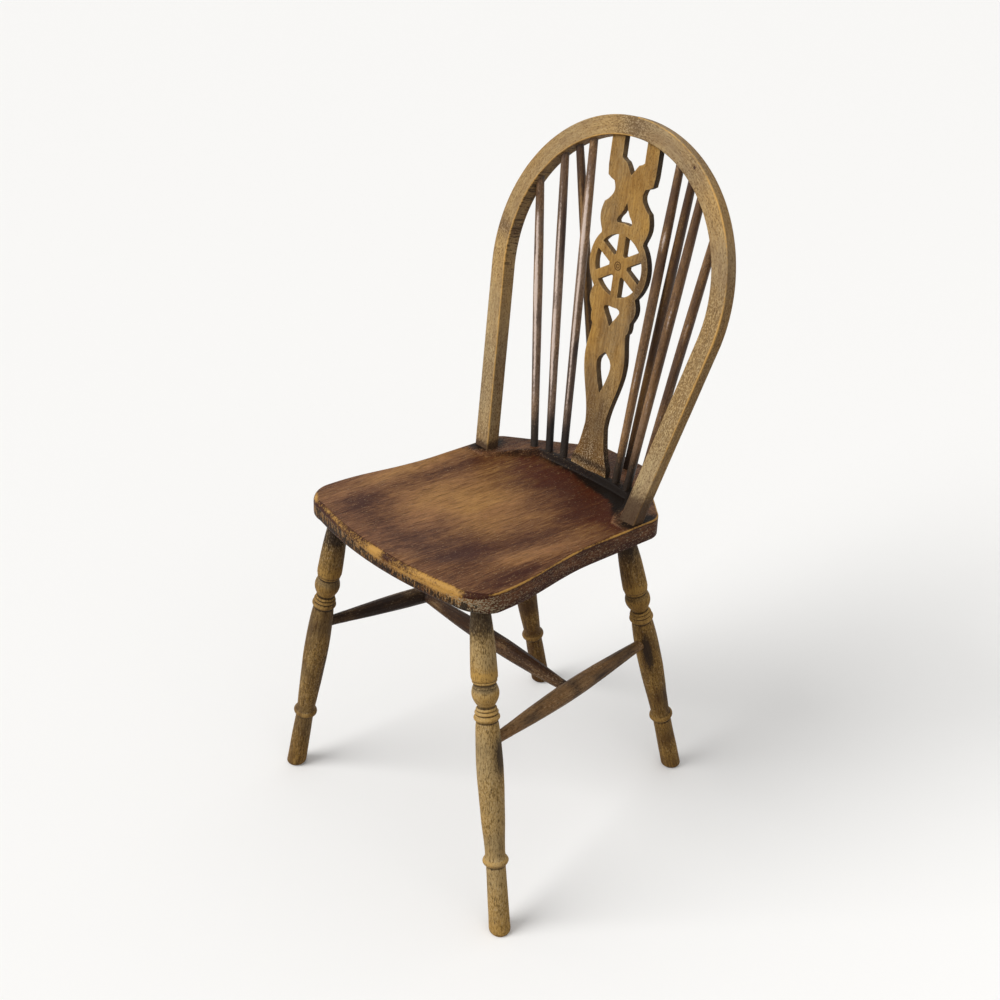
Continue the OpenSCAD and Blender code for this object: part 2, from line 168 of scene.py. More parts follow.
def makeStudio(look):
    lens = bpy.data.cameras.new("camera")
    lens.lens = look["lens"]
    lens.sensor_width = 36
    lens.clip_end = 60
    camera = bpy.data.objects.new("camera", lens)
    camera.location = look["cameraPlace"]
    camera.rotation_euler = (radians(look["cameraTilt"]), 0, radians(look["cameraSwing"]))
    scene.collection.objects.link(camera)
    scene.camera = camera
    scene.view_settings.view_transform = "Standard"

    key = bpy.data.lights.new("key", "SUN")
    key.energy = look["keyLevel"]
    key.angle = radians(look["keySpread"])
    fill = bpy.data.lights.new("fill", "AREA")
    fill.shape = "DISK"
    fill.size = look["fillSize"]
    fill.energy = look["fillPower"]
    for lamp in (key, fill):
        placed = bpy.data.objects.new(lamp.name, lamp)
        aim(placed, look[lamp.name + "Place"], look["aimAt"])
        scene.collection.objects.link(placed)

    world = bpy.data.worlds.new("room")
    world.use_nodes = True
    scene.world = world
    room = Recipe("room", world.node_tree)
    level = seenDirectly(room) * (1 - look["worldLevel"]) + look["worldLevel"]
    room.finish(room.node("ShaderNodeBackground", None, {
        "Color": (1, 1, 1, 1), "Strength": level}).outputs[0], "ShaderNodeOutputWorld")

    reach = 20.0
    sheet = bpy.data.meshes.new("floor")
    sheet.from_pydata([(-reach, -reach, 0), (reach, -reach, 0), (reach, reach, 0),
                       (-reach, reach, 0)], [], [(0, 1, 2, 3)])
    floor = bpy.data.objects.new("floor", sheet)
    scene.collection.objects.link(floor)
    boards = Recipe("floor")
    colour = boards.blend(seenDirectly(boards), tint(look["floorBounce"]), tint(look["floorTint"]))
    boards.finish(boards.node("ShaderNodeBsdfPrincipled", None, {
        "Base Color": colour, "Roughness": 0.9, "Specular IOR Level": 0.1}).outputs[0])
    sheet.materials.append(boards.material)


def seenDirectly(recipe):
    # 1 for rays from the camera and for reflections, 0 for light on its way to the chair
    path = recipe.node("ShaderNodeLightPath")
    seen = Wire(recipe, path.outputs["Is Camera Ray"])
    for name in ("Is Glossy Ray", "Is Transmission Ray"):
        seen = recipe.maths("MAXIMUM", seen, Wire(recipe, path.outputs[name]))
    return seen


makeStudio(studio)
print("studio set")

# measures shared by the pieces, in millimetres
chair = {
    "seatHeight": 459.0, "seatSlope": 3.0, "seatThickness": 28.0, "seatFront": -222.0,
    "bowFootX": 139.0, "bowFootY": 68.0, "bowRake": 16.7, "bowRadius": 187.0,
    "bowWidth": 24.5, "bowDepth": 23.0, "bowHeight": 477.0, "bowBackRound": 10.0,
    "splatY": 136.5, "splatRake": 8.7, "frontFootY": 215.0, "footDia": 27.0,
    "footEdge": 0.6,
}
frontmost = chair["footEdge"] - chair["frontFootY"] - chair["footDia"] / 2
backmost = (chair["bowFootY"]
            + (chair["bowHeight"] - chair["bowBackRound"]) * sin(radians(chair["bowRake"]))
            + (chair["bowDepth"] - chair["bowBackRound"]) * cos(radians(chair["bowRake"]))
            + chair["bowBackRound"])
shiftY = -(frontmost + backmost) / 2  # centres the chair on the origin
slope = radians(chair["seatSlope"])


def seatTop(y):
    return chair["seatHeight"] - (y - chair["seatFront"]) * tan(slope)


def toMetres(points):
    # from the chair's own millimetres to the frame
    return (points + np.array([0.0, shiftY, 0.0])) * mm


def ease(low, high, value):
    # 0 below low, 1 above high, a cubic ease between them
    t = np.clip((value - low) / (high - low), 0, 1)
    return t * t * (3 - 2 * t)


def softNoise(points, size, seed):
    # value noise: random numbers on a lattice, eased between the eight corners, from -1 to 1
    cells = 24  # the lattice repeats after so many
    lattice = np.random.default_rng(seed).uniform(-1, 1, (cells, cells, cells))
    place = np.asarray(points, float) / size
    cell = np.floor(place).astype(int)
    share = place - cell
    share = share * share * (3 - 2 * share)
    total = 0
    for corner in np.ndindex(2, 2, 2):
        index = (cell + corner) % cells
        weight = np.prod(np.where(np.array(corner) == 1, share, 1 - share), axis=-1)
        total = total + weight * lattice[index[..., 0], index[..., 1], index[..., 2]]
    return total


def hump(value, middle, width):
    # exp(-((value - middle) / width)^2): 1 at the middle and almost 0 two widths away
    return np.exp(-((value - middle) / width) ** 2)


def patches(u, v, spots):
    # each spot adds its strength times exp(-(du/width)^2 - (dv/height)^2)
    total = np.zeros(np.broadcast(u, v).shape)
    for atU, atV, width, height, strength in spots:
        total = total + strength * hump(u, atU, width) * hump(v, atV, height)
    return total


def arcPoints(middleX, middleY, radius, begin, finish, count):
    # points on a circle's arc, from one angle in degrees to the other
    turn = np.radians(np.linspace(begin, finish, count + 1))
    return np.column_stack([middleX + radius * np.cos(turn), middleY + radius * np.sin(turn)])


def lengthAlong(points):
    # how far along the outline each point is
    return np.concatenate([[0], np.cumsum(np.hypot(*np.diff(points, axis=0).T))])


def pointsAt(wanted, along, points):
    # the outline's points at the wanted lengths, on straight lines between its own
    return np.column_stack([np.interp(wanted, along, points[:, i]) for i in (0, 1)])


def facedOut(points, quads, triangles):
    # turns the faces round if the volume they enclose, a sum of triple products, is below 0
    split = np.vstack([quads[:, [0, 1, 2]], quads[:, [0, 2, 3]], triangles])
    a, b, c = points[split].transpose(1, 0, 2)
    if np.einsum("ij,ij->", a, np.cross(b, c)) < 0:
        return quads[:, ::-1], triangles[:, ::-1]
    return quads, triangles


def ringShell(rings, marks):
    # neighbouring rings are joined by quads, and a fan to the middle of each end ring closes it
    rows, around = rings.shape[:2]
    index = np.arange(rows * around).reshape(rows, around)
    ahead = np.roll(index, -1, axis=1)
    quads = np.stack([index[:-1], ahead[:-1], ahead[1:], index[1:]], axis=-1).reshape(-1, 4)
    points = rings.reshape(-1, 3)
    values = {}
    for name, mark in marks.items():
        full = (rows, around) if mark.ndim < 3 else (rows, around, 3)
        values[name] = np.broadcast_to(mark, full).reshape(rows * around, -1)
    points = np.vstack([points, rings[0].mean(0), rings[-1].mean(0)])
    values = {name: np.vstack([mark, mark[index[0]].mean(0), mark[index[-1]].mean(0)])
              for name, mark in values.items()}
    middle = np.full(around, rows * around)
    triangles = np.vstack([np.column_stack([middle, ahead[0], index[0]]),
                           np.column_stack([middle + 1, index[-1], ahead[-1]])])
    quads, triangles = facedOut(points, quads, triangles)
    return {"points": points, "quads": quads, "triangles": triangles, "marks": values}


def makePiece(name, nodes, material, shells):
    # puts the shells into one mesh with their marks and hangs it on the root body
    offset = 0
    points, faces = [], []
    for shell in shells:
        points.append(shell["points"])
        faces += (shell["quads"] + offset).tolist() + (shell["triangles"] + offset).tolist()
        offset += len(shell["points"])
    mesh = bpy.data.meshes.new(name)
    mesh.from_pydata(np.vstack(points).tolist(), [], faces)
    mesh.polygons.foreach_set("use_smooth", np.ones(len(faces), bool))
    for mark in shells[0]["marks"]:
        values = np.vstack([shell["marks"][mark] for shell in shells])
        wide = values.shape[1] == 3
        kept = mesh.attributes.new(mark, "FLOAT_VECTOR" if wide else "FLOAT", "POINT")
        kept.data.foreach_set("vector" if wide else "value", values.astype(np.float32).ravel())
    mesh.materials.append(material)
    mesh.update()
    piece = bpy.data.objects.new(name, mesh)
    scene.collection.objects.link(piece)
    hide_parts(*nodes)
    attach(piece, "root")
    return piece


def wornWood(name, look):
    # tints by the marks: tone runs from deep to pale, warm from greyish to golden
    recipe = Recipe(name)
    grain = recipe.mark("grain", "Vector")
    tone = recipe.mark("tone")
    warm = recipe.mark("warm")
    wear_and_highlight = recipe.mark("wear_and_highlight")
    grime_and_shade = recipe.mark("grime_and_shade")
    stipple = recipe.mark("stipple")

    broad = recipe.noise(grain, look["broadCycles"], 3, 0.55, 3.1)
    cloud = recipe.noise(grain, look["cloudCycles"], 3, 0.6, 7.7)
    streaks = recipe.noise(grain, look["streakCycles"], 3, 0.6, 1.3)
    fibre = recipe.noise(grain, look["fibreCycles"], 2, 0.6, 5.5)
    drift = recipe.noise(grain, look["driftCycles"], 3, 0.5, 9.2)
    turns = recipe.part(grain, 0) * look["ringCycles"] + drift * 7.0
    rings = recipe.maths("SINE", turns * (2 * pi))
    pores = recipe.noise(grain, look["poreCycles"], 2, 0.6, 2.4)
    dots = recipe.noise(grain, look["dotCycles"], 2.5, 0.65, 6.6)

    shade = (tone + (broad - 0.5) * look["broad"] + (cloud - 0.5) * look["cloud"]
             + (streaks - 0.5) * look["streaks"] + (fibre - 0.5) * look["fibre"]
             + rings * look["rings"])
    hue = warm + (drift - 0.5) * look["drift"] + (dots - 0.5) * look["drift"]
    hue = recipe.step(hue, 0.0, 1.0)
    shade = recipe.step(shade, 0.0, 1.0)
    cool = recipe.blend(shade, tint(look["deepCool"]), tint(look["paleCool"]))
    golden = recipe.blend(shade, tint(look["deepWarm"]), tint(look["paleWarm"]))
    colour = recipe.blend(hue, cool, golden)

    poreMask = recipe.step(pores + stipple * 0.05, 0.56, 0.68)
    colour = recipe.blend(poreMask * look["pores"], colour, tint(look["poreTint"]))
    dotMask = recipe.step(dots + stipple * 0.16, 0.60, 0.72)
    colour = recipe.blend(dotMask * look["dots"], colour, tint(look["poreTint"]))
    fleckMask = recipe.step(dots - stipple * 0.10, 0.36, 0.26) * stipple
    colour = recipe.blend(fleckMask * look["flecks"], colour, tint(look["fleckTint"]))

    # the worn mark pales rubbed wear, and also paints highlights: the streaks on the sticks and the
    # pale line at the foot of the splat
    wearAndHighlightMask = recipe.step(wear_and_highlight + (streaks - 0.5) * 0.5 + (cloud - 0.5) * 0.6
                           + (dots - 0.5) * 1.1, 0.30, 0.95)
    colour = recipe.blend(wearAndHighlightMask * look["wear_and_highlight"], colour, tint(look["wearAndHighlightTint"]))
    # the grime mark darkens dirt, and also paints shade: the shadow under the seat's ledge, the shade
    # on the sticks and on the splat's right-hand edges
    grimeAndShadeMask = recipe.step(grime_and_shade + (dots - 0.5) * 0.6 + (cloud - 0.5) * 0.6, 0.25, 0.85)
    colour = recipe.blend(grimeAndShadeMask * look["grime_and_shade"], colour, tint(look["grimeAndShadeTint"]))

    height = fibre * 0.25 + streaks * 0.35 - poreMask * 0.5 - dotMask * 0.7 + cloud * 0.5
    roughness = look["roughness"] + dotMask * 0.1 + poreMask * 0.08 - wearAndHighlightMask * 0.06
    extras = look.get("extra")
    if extras:
        colour, height = extras(recipe, grain, colour, height)
    return recipe.surface(colour, roughness, height, look["bump"], look["bumpDepth"],
                          **{"Specular IOR Level": look["gloss"]})


plainWear = {
    # cycles per metre across and along the grain
    "ringCycles": 140.0, "poreCycles": (1000, 1000, 150), "dotCycles": (560, 560, 300),
    "streakCycles": (330, 330, 11), "fibreCycles": (900, 900, 60),
    "broadCycles": (26, 26, 9), "cloudCycles": (95, 95, 38), "driftCycles": (40, 40, 14),
    # how far each one moves the shade from deep to pale, and drift the hue
    "broad": 0.7, "cloud": 0.5, "streaks": 0.5, "fibre": 0.45, "rings": 0.05, "drift": 0.9,
    # how fully each one covers the wood
    "pores": 0.45, "dots": 0.6, "flecks": 0.4, "wear_and_highlight": 0.8, "grime_and_shade": 0.85,
    "fleckTint": "#c3ad8d", "poreTint": "#4b3726", "grimeAndShadeTint": "#20150e",
    "roughness": 0.6, "bump": 0.5, "bumpDepth": 0.0007, "gloss": 0.16,
}


def swell(d0, r0, d1, r1, bulge, count=8, skew=1.0):
    # a run of a turned outline, standing out by bulge * sin(pi * t^skew)
    t = np.linspace(0, 1, count + 1)
    return np.column_stack([d0 + (d1 - d0) * t, r0 + (r1 - r0) * t + bulge * np.sin(pi * t ** skew)])


def refine(outline, spacing):
    # the same outline with a row at least every so many millimetres
    along = lengthAlong(outline)
    wanted = np.unique(np.concatenate([along, np.arange(0, along[-1], spacing)]))
    wanted = wanted[np.concatenate([[True], np.diff(wanted) > 0.05])]
    return pointsAt(wanted, along, outline)


def halfTurns(angle):
    # the same angle, from -pi to pi
    return (angle + pi) % (2 * pi) - pi


def roundPlace(d, r, angle, along=1.0):
    # points of a turned piece on its own axis, with the length drawn in or out for the noise
    return np.stack(np.broadcast_arrays(r * np.cos(angle), r * np.sin(angle), d * along), -1)


def turnedShell(start, end, outline, around, shape, seed, floorEnd=False):
    # rings of radius r(d) round the line from start to end; shape gives the marks and the wear,
    # and seed moves the grain so that no two pieces have the same
    axis = (end - start) / np.linalg.norm(end - start)
    front = np.array([0.0, -1.0, 0.0])
    side = front - axis * (front @ axis)
    side /= np.linalg.norm(side)
    other = np.cross(axis, side)
    angle = np.linspace(0, 2 * pi, around, endpoint=False)[None, :]
    d, r = outline[:, :1], outline[:, 1:]
    marks, r = shape(d, r, angle)
    offset = (r * np.cos(angle))[..., None] * side + (r * np.sin(angle))[..., None] * other
    if floorEnd:  # the last rings lie level, so that the foot stands flat
        length = np.linalg.norm(end - start)
        level = ease(length - legs["levelFrom"], length - legs["levelTo"], d)
        offset = offset - (level * offset[..., 2] / axis[2])[..., None] * axis
    rings = start + d[..., None] * axis + offset
    marks["grain"] = roundPlace(d, r, angle) * mm + seed
    return ringShell(toMetres(rings), marks)


def crests(r, width):
    # how far each row stands out from the rows round it: above 0 on beads, below 0 in grooves
    kernel = np.hanning(width)
    kernel /= kernel.sum()
    padded = np.pad(r[:, 0], width // 2, mode="edge")
    return r[:, 0] - np.convolve(padded, kernel, "same")[width // 2:width // 2 + len(r)]


# legs: turned pieces between a place under the seat and a place on the floor
legs = {
    "socketFront": (138.0, 172.0), "socketBack": (116.0, 89.0),
    "footFront": (222.0, 215.0), "footBack": (138.0, 186.0),
    "topDia": 21.0, "bellyDia": 33.0, "footDia": 27.0, "tuck": 6.0,
    "vaseEnd": 91.0, "groove": 100.5, "ballEnd": 130.0, "capEnd": 150.0,
    "ringUp": 104.0, "ringDown": 95.0, "around": 72, "rowSpacing": 1.8,
    "wobble": 0.35, "fineWear": 0.08, "levelFrom": 40.0, "levelTo": 6.0,
    "crackAngle": -45.0, "crackEnd": 38.0, "crackHalf": 0.9, "crackDepth": 0.8,
    "topDark": {"front_left": 0.75, "front_right": 0.42, "back_left": 0.3, "back_right": 0.5},
    # stains: place down the leg, angle round it from the front, length, width, strength
    "stains": {
        "front_left": [(15, -50, 34, 2.0, 0.55), (250, -120, 80, 0.8, 0.55), (140, 0, 14, 9.0, 0.3)],
        "front_right": [(12, -40, 38, 9.0, 0.60), (196, -110, 34, 0.7, 1.0), (112, -49, 9, 1.0, 0.3)],
        "back_left": [(20, 0, 25, 9.0, 0.5), (200, -60, 60, 1.2, 0.3)],
        "back_right": [(10, -50, 30, 2.0, 0.6), (196, -45, 34, 0.45, 1.2), (290, -110, 70, 0.8, 0.5)],
    },
    "look": {  # tone and warmth
        "front_left": (0.46, 0.55), "front_right": (0.92, 0.42),
        "back_left": (0.26, 0.90), "back_right": (0.46, 0.75),
    },
}
legLook = {**plainWear, "deepCool": "#46341f", "paleCool": "#ac9468", "deepWarm": "#4b2f0f",
           "paleWarm": "#b18c4c", "wearAndHighlightTint": "#b68f52", "poreTint": "#33230f",
           "pores": 0.65, "dots": 0.45, "flecks": 0.5}


def legEnds(end, side):
    # the leg's axis, from the seat's underside to the floor
    across, back = legs["socket" + end]
    footAcross, footBack = legs["foot" + end]
    sign = -1 if end == "Front" else 1
    y = sign * back
    under = seatTop(y) - chair["seatThickness"] / cos(slope)
    return np.array([side * across, y, under]), np.array([side * footAcross, sign * footBack, 0.0])


def legOutline(length):
    # vase, reel, ball, three rings, the long swell, one ring and the foot, each run from one
    # distance and radius to the next
    belly = legs["bellyDia"] / 2
    groove, ball, cap = legs["groove"], legs["ballEnd"], legs["capEnd"]
    up, down = length - legs["ringUp"], length - legs["ringDown"]
    foot = legs["footDia"] / 2
    return np.vstack([
        [[-legs["tuck"], legs["topDia"] / 2]],
        swell(0, legs["topDia"] / 2, legs["vaseEnd"], belly, 1.2, 20),
        swell(legs["vaseEnd"] + 1, belly - 0.2, groove - 3, 14.8, 0.7, 6),
        swell(groove - 3, 14.8, groove, 14.4, 0.8, 6),
        [[groove + 0.5, 13.4]],
        swell(groove + 2, 13.6, ball, 11.2, belly - 12.2, 24),
        [[ball + 1, 10.9], [ball + 3, 10.9]],
        swell(ball + 3, 11.6, ball + 6.5, 11.8, 1.2, 7),
        swell(ball + 7, 12.6, ball + 11.5, 12.8, 1.9, 9),
        swell(ball + 12, 13.4, cap, 13.5, 2.6, 14),
        swell(cap + 0.5, 13.2, up - 6, 12.6, belly - 13, 40, 0.7),
        swell(up - 5, 12.8, up, 14.2, -0.4, 6),
        swell(up, 14.2, down, 13.8, 2.3, 12),
        swell(down + 0.5, 12.2, length - 6, foot, 0, 12),
        swell(length - 6, foot, length, foot - 2.6, 0.9, 8),
    ])


def crackMark(d, r, turned):
    # a crack that wanders down from the seat and turns aside at its end
    away = turned - radians(legs["crackAngle"])
    across = r * np.sin(away) - 1.5 * np.sin(d / 6)
    bottom = legs["crackEnd"]
    down = hump(across, 0, legs["crackHalf"]) * ease(bottom + 3, bottom - 2, d)
    aside = hump(d, bottom, 1.2) * ease(-7, -5, across) * ease(1, 0, across)
    return np.maximum(down, aside) * (np.cos(away) > 0)


def makeLegs():
    # the outline turned round each leg's axis, with its own stains, beads and wear
    material = wornWood("worn leg wood", legLook)
    for number, (end, side, name) in enumerate((
            ("Front", -1, "front_left"), ("Front", 1, "front_right"),
            ("Back", -1, "back_left"), ("Back", 1, "back_right"))):
        start, stop = legEnds(end, side)
        length = np.linalg.norm(stop - start)
        outline = refine(legOutline(length), legs["rowSpacing"])
        bead = crests(outline[:, 1:], 15)[:, None]

        def shape(d, r, angle):
            base, warm = legs["look"][name]
            place = roundPlace(d, r, angle)
            wear = softNoise(place, 26.0, 11 + number)
            fine = softNoise(place * (1, 1, 0.35), 5.0, 31 + number)
            turned = halfTurns(angle)
            stain = 0
            for atD, atAngle, tall, wide, strength in legs["stains"][name]:
                off = halfTurns(turned - radians(atAngle))
                stain = stain + strength * hump(d, atD, tall) * hump(off, 0, wide)
            beads = (d > legs["vaseEnd"] - 6) & (d < legs["capEnd"] + 1)
            beads = beads | ((d > length - legs["ringUp"]) & (d < length - legs["ringDown"]))
            top = legs["topDark"][name] * ease(75, 25, d) * (1 + 0.5 * fine)
            rubbed = ease(70, 88, d) * ease(legs["groove"], legs["vaseEnd"], d)
            crown = hump(d, legs["groove"] + 6, 5)
            marks = {
                "tone": (base + 0.25 * wear + 0.10 * beads - 0.25 * stain - 0.3 * top
                         + 0.12 * rubbed),
                "warm": (warm + 0.25 * wear + 0.22 * beads - 0.3 * top - 0.4 * crown
                         + 0.4 * rubbed + 0.25 * ease(length - 90, length, d)),
                "wear_and_highlight": np.clip(bead / 0.7, 0, 1),
                "grime_and_shade": (0.9 * np.clip(-bead / 0.5, 0, 1) + hump(d, -1, 5) + stain
                          + 0.55 * top + 0.45 * crown * (1 + 0.6 * wear)),
                "stipple": 0.55 + 0.4 * wear - 0.3 * beads + 0.5 * top,
            }
            if name == "front_left":
                crack = crackMark(d, r, turned)
                marks["grime_and_shade"] = marks["grime_and_shade"] + 1.2 * crack
                r = r - legs["crackDepth"] * crack
            return marks, r + legs["wobble"] * wear + legs["fineWear"] * fine

        seed = np.array([0.4, 0.0, 0.9]) * (number + 1)
        shell = turnedShell(start, stop, outline, legs["around"], shape, seed, floorEnd=True)
        makePiece("leg_" + name + "_turned", ["leg_" + name], material, [shell])


makeLegs()
print("legs turned")

# stretchers: one from front to back on each side, and one across between them
stretchers = {
    "frontDrop": 182.0, "backDrop": 189.0, "endDia": 14.0, "bellyDia": 24.5,
    "middleShare": 0.49, "around": 56, "rowSpacing": 2.2,
    "flats": 5, "flatDepth": 0.45, "wobble": 0.25,
    # name: tone, warmth, plain run at each end, how far inside the other piece it starts
    "left": (0.05, 0.35, 22, -2), "right": (0.56, 0.62, 22, -2), "middle": (0.02, 0.90, 20, 3),
}
stretcherLook = {**plainWear, "deepCool": "#21150d", "paleCool": "#7d6548", "deepWarm": "#38200c",
                 "paleWarm": "#8c673e", "wearAndHighlightTint": "#a1835a", "poreTint": "#1a0f08",
                 "pores": 0.5, "dots": 0.4, "wear_and_highlight": 0.6, "roughness": 0.52}


def onLeg(end, side, drop):
    # the point so far down a leg's axis
    start, stop = legEnds(end, side)
    return start + (stop - start) * drop / np.linalg.norm(stop - start)


def makeStretchers():
    # a sine swell between two plain ends, with flats as deep as cos(flats * angle + d / 60)^2
    material = wornWood("worn stretcher wood", stretcherLook)
    ends = {side: (onLeg("Front", side, stretchers["frontDrop"]),
                   onLeg("Back", side, stretchers["backDrop"])) for side in (-1, 1)}
    crossing = [ends[side][0] + (ends[side][1] - ends[side][0]) * stretchers["middleShare"]
                for side in (-1, 1)]
    lines = {"left": ends[-1], "right": ends[1], "middle": crossing}
    for number, (name, (start, stop)) in enumerate(lines.items()):
        tone, warm, stub, inside = stretchers[name]
        length = np.linalg.norm(stop - start)
        radius = stretchers["endDia"] / 2
        bulge = (stretchers["bellyDia"] - stretchers["endDia"]) / 2
        outline = refine(np.vstack([
            [[inside, radius]], swell(stub, radius, length - stub, radius, bulge, 48),
            [[length - inside, radius]]]), stretchers["rowSpacing"])

        def shape(d, r, angle):
            wear = softNoise(roundPlace(d, r, angle, 0.4), 14.0, 51 + number)
            flat = np.cos(stretchers["flats"] * angle + d / 60) ** 2
            near = np.minimum(d, length - d)
            joint = near
            if name != "middle":
                joint = np.minimum(near, np.abs(d - length * stretchers["middleShare"]) * 1.2)
            marks = {
                "tone": tone + 0.35 * wear + 0.15 * flat,
                "warm": warm + 0.3 * wear,
                "wear_and_highlight": np.clip(0.3 * wear + 0.35 * (1 - flat), 0, 1),
                "grime_and_shade": 0.9 * hump(near, 0, 14) + 0.6 * hump(joint, 0, 16),
                "stipple": 0.5 + 0.5 * wear,
            }
            sunk = stretchers["flatDepth"] * flat * (r > radius + 1)
            return marks, r - sunk + stretchers["wobble"] * wear

        seed = np.array([0.3, 0.8, 0.5]) * (number + 1)
        shell = turnedShell(start, stop, outline, stretchers["around"], shape, seed)
        makePiece("stretcher_" + name + "_turned", ["stretcher_" + name],
                  material, [shell])


makeStretchers()
print("stretchers turned")

# bow: one section carried along foot, arc and foot
bow = {
    "arris": 1.3, "backInner": 5.0, "backOuter": 10.0, "sunk": 1.2, "pinDia": 17.0,
    "nailAngle": 57.0, "nailOut": 4.0, "nailDia": 3.2, "nailSunk": 1.1,
    "pinTop": -6.0, "pinLow": -60.0, "pinAround": 40,
    "legRows": 130, "arcRows": 360, "frontSteps": 30, "sideSteps": 9,
    "dents": 0.10, "wobble": 0.12,
    # along the bow from the left foot: place, reach, strength
    "stippleSpots": [(90, 80, 0.40), (300, 12, 0.6), (575, 28, 0.9), (685, 26, 0.5),
                     (840, 40, 0.4), (980, 110, 0.55)],
    "darkSpots": [(90, 80, 0.14), (575, 25, 0.12), (975, 80, 0.12), (300, 10, 0.3)],
    "bendCracks": [(325, 85, 1.5), (455, 30, 0.6)], "crackTint": "#3b2c1e",
}
bowRise = chair["bowHeight"] - chair["bowRadius"] - chair["bowWidth"] / 2
bowLean = (atan2(bowRise, chair["bowFootX"])
           - acos(chair["bowRadius"] / sqrt(chair["bowFootX"] ** 2 + bowRise ** 2)))
legRun = sqrt(chair["bowFootX"] ** 2 + bowRise ** 2 - chair["bowRadius"] ** 2)
arcRun = chair["bowRadius"] * (pi + 2 * bowLean)
rake = radians(chair["bowRake"])
bowLook = {**plainWear, "deepCool": "#816a4e", "paleCool": "#b8a379", "deepWarm": "#8b683b",
           "paleWarm": "#c29e62", "wearAndHighlightTint": "#d0a25a", "poreTint": "#54402b",
           "grimeAndShadeTint": "#352217", "streaks": 0.35, "broad": 0.45, "pores": 0.5, "dots": 0.55,
           "flecks": 0.2, "dotCycles": (600, 600, 360)}


def inBow(x, w, deep):
    # x across, w up the bow's slope, deep behind its front face
    x, w, deep = np.broadcast_arrays(x, w, deep)
    return np.stack([x, chair["bowFootY"] + w * sin(rake) + deep * cos(rake),
                     seatTop(chair["bowFootY"]) + w * cos(rake) - deep * sin(rake)], axis=-1)


def bowSection():
    # across (outwards) and deep: a box with sharp front arrises and rounded back corners
    half, depth = chair["bowWidth"] / 2, chair["bowDepth"]
    corners = (  # middle of the corner's arc, its radius, the angle it starts at and its points
        (half - bow["arris"], bow["arris"], bow["arris"], -90, 6),
        (half - bow["backOuter"], depth - bow["backOuter"], bow["backOuter"], 0, 12),
        (-half + bow["backInner"], depth - bow["backInner"], bow["backInner"], 90, 9),
        (-half + bow["arris"], bow["arris"], bow["arris"], 180, 6),
    )
    runs = []
    for number, (a, deep, radius, angle, count) in enumerate(corners):
        runs.append(arcPoints(a, deep, radius, angle, angle + 90, count - 1))
        following = corners[(number + 1) % 4]
        begin = np.radians(angle + 90)
        first = np.array([a + radius * cos(begin), deep + radius * sin(begin)])
        last = np.array([following[0] + following[2] * cos(begin),
                         following[1] + following[2] * sin(begin)])
        steps = bow["frontSteps"] if number == 3 else bow["sideSteps"]
        t = np.linspace(0, 1, steps + 1)[1:-1, None]
        runs.append(first + (last - first) * t)
    return np.vstack(runs)


def spotsAlong(s, spots):
    # each spot adds its strength times a hump over its reach
    return sum(strength * hump(s, at, reach) for at, reach, strength in spots)


